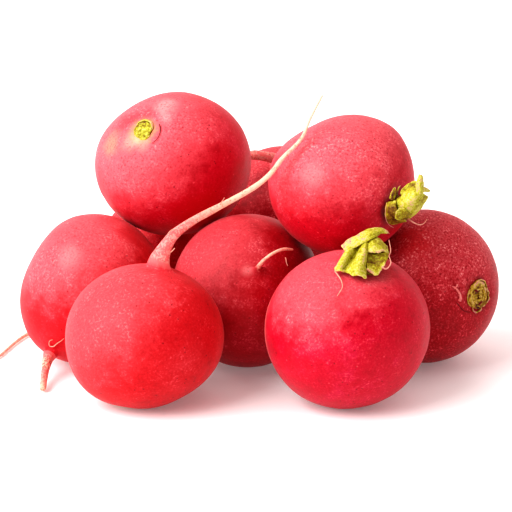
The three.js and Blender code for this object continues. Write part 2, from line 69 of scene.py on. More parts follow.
RADISHES = {
    "top_left": {
        "middle": (-21.6, 49.7, 48.5), "radius": 19.4, "crown": (-0.4, -0.65, 0.65),
        "swells": [((1, 0, 0.1), 0.085)],
        "bulges": [((0.4, 0.62, -0.66), 0.02), ((-0.64, 0.22, 0.73), -0.045)],
        "dimple": (0.9, 13),
        "root": [
            ((-14.6, 60.8, 36.8), 1.9), ((-13.0, 62.8, 35.8), 1.3), ((-11.2, 64.8, 35.2), 0.9),
            ((-9.0, 66.4, 34.8), 0.7), ((-7.0, 67.6, 34.2), 0.4),
        ],
        "tint": 0.35, "dark_tone_and_shade": 0.0,
        "painted_highlight": ((-0.6, -0.5, 0.75), 0.85, 0.05),
    },
    "top_right": {
        "middle": (21.5, 25.8, 49.4), "radius": 18.0, "crown": (0.78, -0.58, -0.22),
        "swells": [((1, 0, 0), 0.04)],
        "bulges": [
            ((-0.7, 0.68, 0.2), 0.03), ((0, -0.62, -0.78), 0.06), ((0.67, 0.22, 0.71), 0.07),
            ((-0.5, 0.25, 0.83), -0.08),
        ],
        "dimple": (2.2, 15),
        "root": [
            ((9.6, 36.0, 51.6), 2.0), ((8.0, 38.8, 51.8), 1.1), ((7.4, 42.4, 51.4), 0.8),
            ((8.4, 46.4, 50.4), 0.5),
        ],
        "tint": 0.3, "dark_tone_and_shade": 0.05,
        "painted_highlight": ((-0.3, -0.45, 0.9), 0.76, 0.08),
    },
    "front_left": {
        "middle": (-27.3, 1.0, None), "radius": 18.25, "crown": (-0.24, -0.05, -0.97),
        "swells": [((1, 0, 0), 0.086), ((0, 1, 0), -0.05)],
        "bulges": [((-0.74, -0.19, -0.64), 0.045), ((0.57, -0.24, -0.78), -0.045)],
        "dimple": (1.9, 13),
        "root": [
            ((-24.2, 1.6, 33.6), 3.4), ((-23.6, 1.9, 36.0), 2.6), ((-22.8, 2.3, 38.2), 2.0),
            ((-21.7, 2.8, 40.3), 1.45), ((-20.2, 3.4, 42.4), 1.2), ((-18.1, 4.4, 44.0), 1.05),
            ((-14.7, 6.2, 45.8), 0.88), ((-9.8, 8.8, 47.8), 0.76), ((-5.1, 11.0, 49.8), 0.68),
            ((-0.1, 12.6, 52.4), 0.62), ((3.5, 13.8, 55.2), 0.6), ((6.5, 14.4, 59.1), 0.52),
            ((10.2, 15.2, 62.6), 0.42), ((11.7, 15.8, 64.6), 0.36), ((13.0, 17.0, 67.7), 0.3),
            ((14.3, 18.2, 70.1), 0.27), ((16.3, 19.6, 73.6), 0.25),
        ],
        "tint": -0.45, "dark_tone_and_shade": 0.0,
        "painted_highlight": ((-0.7, -0.35, 0.65), 0.45, 0.1),
    },
    "front_right": {
        "middle": (22.4, 1.5, None), "radius": 19.75, "crown": (0.25, -0.25, 0.935),
        "swells": [((1, 0, 0), 0.055), ((-0.63, 0.77, 0), -0.03)],
        "bulges": [((-0.53, -0.25, -0.81), 0.02)],
        "dimple": (1.6, 16),
        "root": [
            ((17.6, 4.8, 4.2), 2.0), ((16.4, 6.0, 2.6), 1.4), ((14.8, 7.6, 1.7), 1.0),
            ((12.6, 9.6, 1.2), 0.6),
        ],
        "tint": 0.5, "dark_tone_and_shade": 0.05,
        "painted_highlight": ((-0.35, -0.3, 0.95), 0.55, 0.44),
    },
    "left": {
        "middle": (-42.1, 34.6, None), "radius": 19.0, "crown": (0.1, 0.76, 0.64),
        "swells": [((0.1, 0, 1), 0.035)],
        "bulges": [
            ((-0.53, -0.54, -0.65), 0.06), ((-0.84, 0.16, 0.52), -0.078),
            ((-0.84, -0.16, -0.52), 0.05),
        ],
        "dimple": (1.1, 13),
        "root": [
            ((-50.6, 27.0, 8.4), 3.4), ((-52.0, 24.4, 6.4), 2.4), ((-52.9, 21.0, 4.8), 1.4),
            ((-53.3, 17.2, 3.2), 1.0), ((-53.4, 13.0, 1.9), 0.9), ((-53.3, 8.6, 1.15), 0.85),
        ],
        "tint": -0.35, "dark_tone_and_shade": 0.0,
        "painted_highlight": ((-0.3, -0.35, 0.9), 0.68, 0.28),
    },
    "middle": {
        "middle": (-2.4, 31.6, None), "radius": 19.5, "crown": (-0.1, 0.85, -0.5),
        "swells": [((0, 0, 1), 0.03)],
        "bulges": [((0.11, -0.83, 0.55), 0.01), ((0.62, -0.15, 0.77), 0.03)],
        "dimple": (1.1, 13),
        "root": [
            ((0.3, 16.6, 29.6), 1.1), ((0.6, 14.4, 31.0), 0.52), ((2.0, 12.6, 33.4), 0.4),
            ((4.2, 12.4, 35.2), 0.36), ((6.7, 13.7, 35.9), 0.34), ((9.2, 15.8, 35.2), 0.26),
        ],
        "tint": 0.0, "dark_tone_and_shade": 0.15,
        "painted_highlight": ((-0.65, -0.4, 0.65), 0.4, 0.4),
    },
    "right": {
        "middle": (43.2, 35.0, None), "radius": 19.7, "crown": (0.68, -0.73, 0.09),
        "swells": [((0, 0, 1), 0.02)], "bulges": [((-0.6, 0.74, -0.3), 0.03)],
        "dimple": (1.3, 14),
        "root": [
            ((32.6, 47.6, 15.0), 2.2), ((30.4, 50.6, 13.4), 1.3), ((28.4, 54.0, 11.6), 1.0),
            ((27.4, 58.4, 9.6), 0.8), ((27.6, 63.0, 7.4), 0.5),
        ],
        "tint": 0.0, "dark_tone_and_shade": 0.16,
        "painted_highlight": ((0.35, -0.3, 0.9), 0.3, 0.3),
    },
    "back": {
        "middle": (7.6, 95.2, None), "radius": 20.2, "crown": (0.07, 0.48, -0.87),
        "swells": [((0, 0, 1), 0.04)], "bulges": [],
        "dimple": (1.3, 13),
        "root": [
            ((6.8, 87.2, 35.2), 3.2), ((6.6, 86.0, 37.8), 2.4), ((6.3, 84.5, 39.6), 1.8),
            ((5.2, 83.0, 41.1), 1.5), ((3.3, 81.5, 42.1), 1.4), ((0.8, 80.5, 42.8), 1.3),
            ((-1.4, 80.0, 43.0), 1.2), ((-4.4, 80.0, 42.4), 0.9), ((-7.7, 80.5, 40.9), 0.5),
        ],
        "tint": 0.0, "dark_tone_and_shade": 0.2,
        "painted_highlight": ((0, -0.1, 1), 0.35, 0.3),
    },
    "back_left": {
        "middle": (-24.0, 72.4, None), "radius": 18.1, "crown": (0.1, 0.76, 0.64),
        "swells": [((1, 0.2, 0), 0.03)],
        "bulges": [((-0.79, -0.1, -0.6), 0.03), ((0.06, -0.6, 0.8), 0.07)],
        "dimple": (1.1, 13),
        "root": [
            ((-37.2, 70.6, 8.6), 2.6), ((-39.8, 70.2, 6.4), 1.6), ((-43.6, 69.0, 3.8), 0.9),
            ((-48.6, 66.2, 1.9), 0.65), ((-54.0, 61.4, 1.1), 0.55), ((-58.6, 56.4, 0.8), 0.5),
            ((-62.0, 50.4, 0.7), 0.5), ((-64.4, 43.4, 0.65), 0.45), ((-66.4, 36.2, 0.6), 0.4),
            ((-68.6, 30.0, 0.6), 0.3),
        ],
        "tint": 0.0, "dark_tone_and_shade": 0.0,
        "painted_highlight": ((-0.5, 0, 0.8), 0.2, 0.1),
    },
}


def to_frame(place):
    """A place in the heap, in millimetres, as a place in the frame, in metres."""
    return (Vector(place) - HEAP_MIDDLE) * MM


print("radishes:", ", ".join(RADISHES))

# %% [markdown]
# ## Hands for the work
# Every operator acts on all that is selected, so the first helper leaves one piece alone in
# the selection, and the second picks the part of it to work on, by a test on its place.
# A window isn't there to turn the view in, so the directions to stretch and turn along are
# given as axes of their own.

# %% Picking, stretching, pushing and turning
def only(piece):
    bpy.ops.object.select_all(action="DESELECT")
    piece.select_set(True)
    bpy.context.view_layer.objects.active = piece


def pick(piece, wanted, kind="VERT"):
    """Opens the piece in edit mode with the vertices or faces selected that pass the test."""
    only(piece)
    bpy.ops.object.mode_set(mode="EDIT")
    bpy.ops.mesh.select_mode(type=kind)
    bpy.ops.mesh.select_all(action="DESELECT")
    bpy.ops.object.mode_set(mode="OBJECT")
    for part in piece.data.vertices if kind == "VERT" else piece.data.polygons:
        part.select = wanted(part)
    bpy.ops.object.mode_set(mode="EDIT")


def done():
    bpy.ops.object.mode_set(mode="OBJECT")


def axes_along(direction):
    """Three axes as columns, the last of them along the direction."""
    along = Vector(direction).normalized()
    side = along.orthogonal().normalized()
    return Matrix((side, along.cross(side), along)).transposed()


def stretch(piece, direction, by, centre):
    """Lengthens the whole piece along a direction and thins it across, or the other way."""
    pick(piece, lambda part: True)
    across = 1 - by / 3
    bpy.ops.transform.resize(
        value=(across, across, 1 + 2 * by / 3), orient_type="GLOBAL",
        orient_matrix=axes_along(direction), orient_matrix_type="GLOBAL",
        center_override=centre,
    )
    done()


def nearest(piece, centre, direction):
    """The vertex that lies most nearly in a direction from the centre."""
    direction = Vector(direction).normalized()
    spots = piece.data.vertices
    return max(spots, key=lambda spot: (spot.co - centre).normalized().dot(direction)).index


def push(piece, centre, direction, distance, spread):
    """Pushes one spot out or in, and lets its surroundings follow softly."""
    spot = nearest(piece, centre, direction)
    pick(piece, lambda part: part.index == spot)
    bpy.ops.transform.translate(
        value=Vector(direction).normalized() * distance, use_proportional_edit=True,
        proportional_edit_falloff="SMOOTH", proportional_size=spread,
    )
    done()


def turn(axis, angle, centre):
    bpy.ops.transform.rotate(
        value=angle, orient_axis="Z", orient_type="GLOBAL",
        orient_matrix=axes_along(axis), orient_matrix_type="GLOBAL",
        constraint_axis=(False, False, True), center_override=centre,
    )


def finish_with(piece, kind, **settings):
    """Adds a modifier and applies it at once."""
    only(piece)
    modifier = piece.modifiers.new(kind.title(), kind)
    for name, value in settings.items():
        setattr(modifier, name, value)
    bpy.ops.object.modifier_apply(modifier=modifier.name)


def smooth(piece):
    only(piece)
    bpy.ops.object.shade_smooth()


# %% [markdown]
# ## A root's path
# A root bends like a drawn line, so between the given points it follows a curve that passes
# through all of them. The curve is walked in short steps, and each step carries a radius.
# A little unevenness is added to the radii, since no root tapers like a turned peg.

# %% Walking a path
def between(points, span, part):
    """A place on the curve through the points, part of the way along one span of it."""
    before = points[max(span - 1, 0)]
    start, end = points[span], points[span + 1]
    after = points[min(span + 2, len(points) - 1)]
    reach = (end - start).length
    out = (end - before).normalized() * reach
    back = (after - start).normalized() * reach
    square, cube = part * part, part * part * part
    return (
        start * (2 * cube - 3 * square + 1) + out * (cube - 2 * square + part)
        + end * (3 * square - 2 * cube) + back * (cube - square)
    )


def walk(points, radii, step):
    """Places along a path, at most one step apart, with the radius at each."""
    points = [Vector(point) for point in points]
    places = []
    for span in range(len(points) - 1):
        count = max(1, round((points[span + 1] - points[span]).length / step))
        for i in range(count):
            part = i / count
            radius = radii[span] * (1 - part) + radii[span + 1] * part
            places.append((between(points, span, part), radius))
    places.append((points[-1], radii[-1]))
    return places


# %% [markdown]
# ## Growing a bulb and its root
# A real radish has no joint between bulb and root: one runs into the other. So both are
# pulled out of one ball. The ball's poles point at the crown and the root, its swells are
# stretched, its bulges and its dimple are pushed with soft surroundings, and the faces
# round its root pole become one face, which is extruded step by step along the root's path,
# turned and narrowed at each step. Subdivision then rounds the whole.

# %% Growing one radish
BALL_SIDES = 36
BALL_RINGS = 32
ROOT_STEP = 1.3 * MM
BULGE_SPREAD = 0.81  # of the radius, for a bulge's soft surroundings
FLARE = 1.3  # how much wider than the root its foot on the bulb is
NARROWEST_FOOT = math.radians(4)
REST_SINK = 0.3 * MM
ROOT_START = 0.4 * MM  # above the skin, where the root's own steps begin
ROOT_UNEVEN = (0.12, 2.2 * MM)  # how much its radius varies, and over what length
ROOT_TIP = (0.6, 0.5)  # the tip's length and its end's radius, as shares of the radius


def dimple_spread(width):
    """The soft surroundings that give a dimple its half width, as a share of the radius."""
    return 4 * math.sin(math.radians(0.83 * width) / 2)


def grow_ball(name, radish):
    """The bulb alone. It returns the piece and its middle, at the height it stands at."""
    x, y, height = radish["middle"]
    middle = to_frame((x, y, height or 0))
    radius = radish["radius"] * MM
    bpy.ops.object.select_all(action="DESELECT")
    bpy.ops.mesh.primitive_uv_sphere_add(
        segments=BALL_SIDES, ring_count=BALL_RINGS, radius=radius, location=middle,
        rotation=root_direction(radish).to_track_quat("Z", "Y").to_euler(),
    )
    piece = bpy.context.object
    piece.name = f"bulb_{name}"
    bpy.ops.object.transform_apply(location=True, rotation=True, scale=True)
    for direction, by in radish["swells"]:
        stretch(piece, direction, by, middle)
    for direction, by in radish["bulges"]:
        push(piece, middle, direction, by * radius, BULGE_SPREAD * radius)
    depth, width = radish["dimple"]
    push(piece, middle, radish["crown"], -depth * MM, dimple_spread(width) * radius)
    if height is None:
        rise = Vector((0, 0, -min(spot.co.z for spot in piece.data.vertices) - REST_SINK))
        pick(piece, lambda part: True)
        bpy.ops.transform.translate(value=rise)
        done()
        middle = middle + rise
    return piece, middle


def standing(radish):
    """The rough height of a radish's middle, before it is measured."""
    return radish["middle"][2] or radish["radius"]


def root_direction(radish):
    x, y, _ = radish["middle"]
    middle = Vector((x, y, standing(radish)))
    beyond = [Vector(place) - middle for place, _ in radish["root"]]
    outside = [offset for offset in beyond if offset.length > radish["radius"]]
    return (outside or beyond)[0].normalized()


def grow_root(piece, middle, radish):
    """Extrudes the root out of the bulb. It returns the places that the root passes."""
    places = walk(
        [to_frame(place) for place, _ in radish["root"]],
        [size * MM for _, size in radish["root"]], ROOT_STEP,
    )
    reach = radish["radius"] * MM
    towards = root_direction(radish)
    foot = nearest(piece, middle, towards)
    surface = (piece.data.vertices[foot].co - middle).length
    places = [
        (place, size) for place, size in places
        if (place - middle).length > surface + ROOT_START and place.z > ROOT_START
    ]
    if not places:
        return []
    towards = (places[0][0] - middle).normalized()
    half = max(NARROWEST_FOOT, math.asin(FLARE * places[0][1] / reach))
    pick(piece, lambda face: (face.center - middle).angle(towards) < half, "FACE")
    bpy.ops.mesh.dissolve_faces()
    done()
    cap = next(face for face in piece.data.polygons if face.select)
    here = cap.center.copy()
    heading = cap.normal.copy()
    width = sum((piece.data.vertices[i].co - here).length for i in cap.vertices)
    width /= len(cap.vertices)
    bpy.ops.object.mode_set(mode="EDIT")
    for number, (place, size) in enumerate(places):
        following = places[min(number + 1, len(places) - 1)][0]
        wanted = (following - here).normalized()
        uneven = 1 + ROOT_UNEVEN[0] * noise.noise(place / ROOT_UNEVEN[1])
        bpy.ops.mesh.extrude_region_move(TRANSFORM_OT_translate={"value": place - here})
        here = place
        if heading.angle(wanted) > 0.01:
            turn(heading.cross(wanted), heading.angle(wanted), here)
            heading = wanted
        change = size * uneven / width
        bpy.ops.transform.resize(value=(change, change, change), center_override=here)
        width = size * uneven
    tip = heading * width * ROOT_TIP[0]
    bpy.ops.mesh.extrude_region_move(TRANSFORM_OT_translate={"value": tip})
    bpy.ops.transform.resize(value=(ROOT_TIP[1],) * 3, center_override=here + tip)
    done()
    return [place for place, _ in places]


bulbs = {}
middles = {}
root_places = {}
for name, radish in RADISHES.items():
    bulbs[name], middles[name] = grow_ball(name, radish)
    root_places[name] = grow_root(bulbs[name], middles[name], radish)
    print(f"{name}: middle {middles[name].z / MM:.1f} mm up, root in {len(root_places[name])} steps")

# %% [markdown]
# ## Rounding, denting and standing
# Two levels of subdivision round the ball and the flare. A radish is never perfectly even:
# broad shallow dents and a fine unevenness are pushed in with two cloud textures, weakly on
# the thin root. Where a radish stands on the table its underside is cut flat, as the flesh
# settles there. Two numbers are then written on every vertex for the skin to read: how far
# it is from the crown, and how far along the root it lies, below 0 on the bulb.

# %% Finishing the bulbs
BROAD_DENTS = (14 * MM, 0.45 * MM)  # the size of the dents and their depth
FINE_DENTS = (2.6 * MM, 0.07 * MM)
ROOT_SHARE = 0.2  # of the dents, on the root
NO_ROOT = 20  # millimetres, as if the root were on the far side
FOOT_DEPTH = 0.3 * MM  # how far below its first step the root already counts as root


def clouds(name, size):
    texture = bpy.data.textures.new(name, "CLOUDS")
    texture.noise_scale = size
    texture.noise_depth = 3
    return texture


def along_root(piece, places, middle):
    """For each vertex, its way along the root in millimetres, or below 0 its way to its foot."""
    if not places:
        return [-NO_ROOT] * len(piece.data.vertices)
    tree = KDTree(len(places))
    for number, place in enumerate(places):
        tree.insert(place, number)
    tree.balance()
    foot = places[0]
    surface = (foot - middle).length - FOOT_DEPTH
    values = []
    for spot in piece.data.vertices:
        if (spot.co - middle).length > surface:
            _, number, _ = tree.find(spot.co)
            ahead = places[min(number + 1, len(places) - 1)] - places[number]
            part = (spot.co - places[number]).dot(ahead) / max(ahead.length_squared, 1e-12)
            values.append((number + part) * ROOT_STEP / MM)
        else:
            values.append(-(spot.co - foot).length / MM)
    return values


def write(piece, name, values):
    attribute = piece.data.attributes.new(name, "FLOAT", "POINT")
    attribute.data.foreach_set("value", values)


crown_feet = {}
broad, fine = clouds("broad_dents", BROAD_DENTS[0]), clouds("fine_dents", FINE_DENTS[0])
for name, radish in RADISHES.items():
    piece, middle, places = bulbs[name], middles[name], root_places[name]
    finish_with(piece, "SUBSURF", levels=2, render_levels=2)
    foot = piece.data.vertices[nearest(piece, middle, radish["crown"])].co.copy()
    crown_feet[name] = foot
    surface = (places[0] - middle).length if places else 1
    group = piece.vertex_groups.new(name="dented")
    everything = range(len(piece.data.vertices))
    on_root = [i for i in everything if (piece.data.vertices[i].co - middle).length > surface]
    group.add(list(everything), 1.0, "REPLACE")
    group.add(on_root, ROOT_SHARE, "REPLACE")
    for texture, depth in ((broad, BROAD_DENTS[1]), (fine, FINE_DENTS[1])):
        finish_with(
            piece, "DISPLACE", texture=texture, strength=depth, mid_level=0.5,
            texture_coords="LOCAL", vertex_group=group.name,
        )
    piece.vertex_groups.clear()
    if radish["middle"][2] is None:
        pick(piece, lambda part: True)
        bpy.ops.mesh.bisect(
            plane_co=(0, 0, 0), plane_no=(0, 0, 1), use_fill=True, clear_inner=True,
        )
        done()
    write(piece, "crown_mm", [(spot.co - foot).length / MM for spot in piece.data.vertices])
    write(piece, "root_mm", along_root(piece, places, middle))
    smooth(piece)
    print(f"{piece.name}: {len(piece.data.polygons)} faces")

# %% [markdown]
# ## Sheets of leaf
# What is left of a leaf is a thin sheet: folded, channelled by its veins and torn at its
# end. No bar or box bends that freely, so each sheet is laid one by one instead. A net of a
# few places says where it goes, a flat grid is drawn smoothly through the net, and its free
# end is torn by noise. Solidify gives the wall its thickness and subdivision rounds the
# edges. Every place also gets a number for its colour to read: 0 where the leaf is fresh
# and yellow-green, towards 1 where it is olive, 2 in a brown hollow and -1 on a dry pink
# edge.

# %% Laying a sheet
LEAF_WALL = 0.5 * MM
SHEET_GRID = (18, 24)
CRUMPLE = (0.16 * MM, 0.9 * MM)  # how far a sheet is crumpled, and how finely
CRUMPLE_SEED = 7
BROAD_TEARS = 4.5  # across the sheet
FINE_TEARS = 13
TEAR_START = 0.45  # a higher start tears away more of the edge
SIDE_TEARS = (0.12, 6.0)  # how far the sides are torn, and how finely

noise.seed_set(CRUMPLE_SEED)  # or the clock picks the vectors, anew in each run


def value_at(values, along):
    place = along * (len(values) - 1)
    before = min(int(place), len(values) - 2)
    return values[before] + (values[before + 1] - values[before]) * (place - before)


def spot_at(path, along):
    place = along * (len(path) - 1)
    span = min(int(place), len(path) - 2)
    return between(path, span, place - span)


def lay_sheet(net, down, across, torn=0.1, wall=LEAF_WALL, seed=0, grid=SHEET_GRID):
    """One sheet drawn through a net of places, row by row. The last row is the torn end."""
    bpy.ops.object.select_all(action="DESELECT")
    bpy.ops.mesh.primitive_grid_add(
        x_subdivisions=grid[0], y_subdivisions=grid[1], size=2,
    )
    piece = bpy.context.object
    shades = []
    for spot in piece.data.vertices:
        side, along = (spot.co.x + 1) / 2, (spot.co.y + 1) / 2
        jag = noise.noise((side * BROAD_TEARS, seed * 7.3, 0.5))
        jag += 0.7 * noise.noise((side * FINE_TEARS, seed, 3.1))
        fray = noise.noise((along * SIDE_TEARS[1], seed * 3.7, 9.5))
        along *= 1 - torn * max(0.0, TEAR_START + jag)
        side = 0.5 + (side - 0.5) * (1 - SIDE_TEARS[0] * abs(fray))
        spot.co = spot_at([spot_at(row, side) for row in net], along)
        spot.co += noise.noise_vector(spot.co / CRUMPLE[1]) * CRUMPLE[0]
        shades.append(value_at(down, along) + value_at(across, side))
    write(piece, "ripeness", shades)
    finish_with(piece, "SOLIDIFY", thickness=wall, offset=0)
    finish_with(piece, "SUBSURF", levels=1, render_levels=1)
    return piece


def join(pieces, name):
    """Joins pieces into one and names it."""
    only(pieces[0])
    for piece in pieces:
        piece.select_set(True)
    bpy.ops.object.join()
    joined = bpy.context.object
    joined.name = name
    return joined


# %% [markdown]
# ## The cut crown
# Where the leaves are cut close, a low knob is left, and the bases of the leaves stand round
# it like the walls of a rose: each wraps part of the way round the one inside it. The knob
# starts as a short cylinder standing in the dimple, its top inset again and again with each
# ring pressed down or drawn up in turn. Each base is a short sheet whose net follows a
# curve round the crown and closes in at its ends.

# %% Cutting a crown
KNOB_SINK = 1.6 * MM
BASE_SINK = 0.7
CROWNS = {  # the knob's radius and height in millimetres, and how ripe its green is
    "top_left": (2.5, 0.3, 0.55), "top_right": (3.6, 1.2, 1.4), "front_left": (2.4, 0.9, 0.5),
    "front_right": (3.3, 1.2, 1.4), "left": (2.8, 0.9, 0.6), "middle": (2.8, 0.9, 0.6),
    "right": (3.5, 0.8, 0.8), "back": (2.8, 0.7, 0.6), "back_left": (2.8, 1.0, 0.6),
}
LEAF_BASES = {  # away from the middle, sweep, turn, height, lean out, ripeness at the rim
    "top_left": [
        (2.5, 170, 150, 0.25, 0.1, -0.2), (2.4, 150, 330, 0.4, 0.0, 0.5),
        (1.7, 200, 40, 0.4, 0.0, 0.4), (1.0, 230, 220, 0.4, 0.0, 0.35),
        (2.9, 200, 50, 0.3, 0.15, -0.5), (2.8, 90, 275, 0.3, 0.1, -0.2),
    ],
    "right": [
        (4.0, 105, 100, 1.1, 0.35, -1.1), (4.1, 90, 20, 1.0, 0.2, -1.0),
        (4.1, 62, 302, 0.9, 0.3, -1.1), (3.4, 130, 125, 1.0, 0.1, -0.3),
        (3.5, 125, 228, 0.5, 0.0, -0.45), (3.1, 110, 348, 1.1, 0.1, 0.1),
        (2.2, 150, 60, 1.2, 0.0, 0.1), (2.1, 150, 205, 1.2, 0.0, 0.0),
        (1.9, 80, 300, 1.0, 0.0, 0.2), (1.2, 210, 320, 1.2, 0.0, 0.1),
        (0.5, 160, 60, 1.1, 0.0, 0.0),
    ],
    "front_left": [],
}
USUAL_LEAF_BASES = [
    (2.6, 150, 20, 1.2, 0.2, -0.3), (2.5, 140, 200, 1.3, 0.1, 0.1),
    (1.6, 190, 110, 1.4, 0.0, 0.1), (0.8, 220, 280, 1.2, 0.0, 0.2),
]
KNOB_SIDES = 28
KNOB_RINGS = 5
RING_STEP = 0.12  # of the knob's radius, as are the next three
LIP = 0.06
RING_RISE = 0.08
RING_FALL = 0.1
UNEVEN = (0.9, 1.3 * MM)  # how much the ripeness varies over a knob, and how finely
CLOSING_IN = 0.22  # of the way to the middle, at a base's two ends
BASE_GRID = (22, 6)
FRESH_BASE = (0.6 * MM, 0.3)  # the wall of a base and how far it is torn
DRY_BASE = (0.32 * MM, 0.5)
DRY_BELOW = -0.8  # ripeness
FOOT_RIPENESS = (1.4, 0.8)  # brown at a base's foot and olive halfway up


def cut_knob(foot, crown, radius, height, ripeness):
    """The low knob: a short cylinder whose top is drawn into rings."""
    axes = axes_along(crown)
    bpy.ops.object.select_all(action="DESELECT")
    bpy.ops.mesh.primitive_cylinder_add(
        vertices=KNOB_SIDES, radius=radius, depth=height + KNOB_SINK,
        location=foot + axes.col[2] * (height - KNOB_SINK) / 2, rotation=axes.to_euler(),
    )
    piece = bpy.context.object
    bpy.ops.object.transform_apply(location=True, rotation=True, scale=True)
    pick(piece, lambda face: face.normal.dot(axes.col[2]) > 0.9, "FACE")
    bpy.ops.mesh.inset(thickness=RING_STEP * radius, depth=LIP * radius)
    for ring in range(KNOB_RINGS):
        change = RING_RISE if ring % 2 else -RING_FALL
        bpy.ops.mesh.inset(thickness=RING_STEP * radius, depth=change * radius)
    done()
    finish_with(piece, "SUBSURF", levels=2, render_levels=2)
    write(piece, "ripeness", [
        ripeness + UNEVEN[0] * noise.noise(spot.co / UNEVEN[1]) for spot in piece.data.vertices
    ])
    return piece


def leaf_base(foot, crown, base, seed):
    """The cut base of one leaf, a low wall curved round the crown."""
    away, sweep, start, height, lean, ripeness = base
    upright = Vector((0, 0, 1)).rotation_difference(Vector(crown))
    net = []
    for rise, out in ((-BASE_SINK, 0.0), (0.5 * height, 0.3 * lean), (height, lean)):
        row = []
        for step in (-1.0, -0.5, 0.0, 0.5, 1.0):
            angle = math.radians(start + sweep / 2 * step)
            reach = (away + out) * (1 - CLOSING_IN * step * step)
            spot = upright @ Vector((reach * math.cos(angle), reach * math.sin(angle), rise))
            row.append(foot + spot * MM)
        net.append(row)
    wall, torn = DRY_BASE if ripeness < DRY_BELOW else FRESH_BASE
    return lay_sheet(net, (*FOOT_RIPENESS, ripeness), (0, 0), torn, wall, seed, BASE_GRID)


# %% [markdown]
# ## The two tufts
# Two radishes keep more of their leaves. On the front right one a leaf folds over the
# shoulder: a strip along its top, a channelled sheet hanging down to a frayed end, and
# beside it a stalk curled over like a hood, dark inside. On the right one of the upper pair
# a ragged bundle stands out to the right: an olive base, a sheet with two prongs, and a
# flap with pale edges. The nets below give each sheet by its places in the heap, in
# millimetres, with the ripeness down its rows and across them.

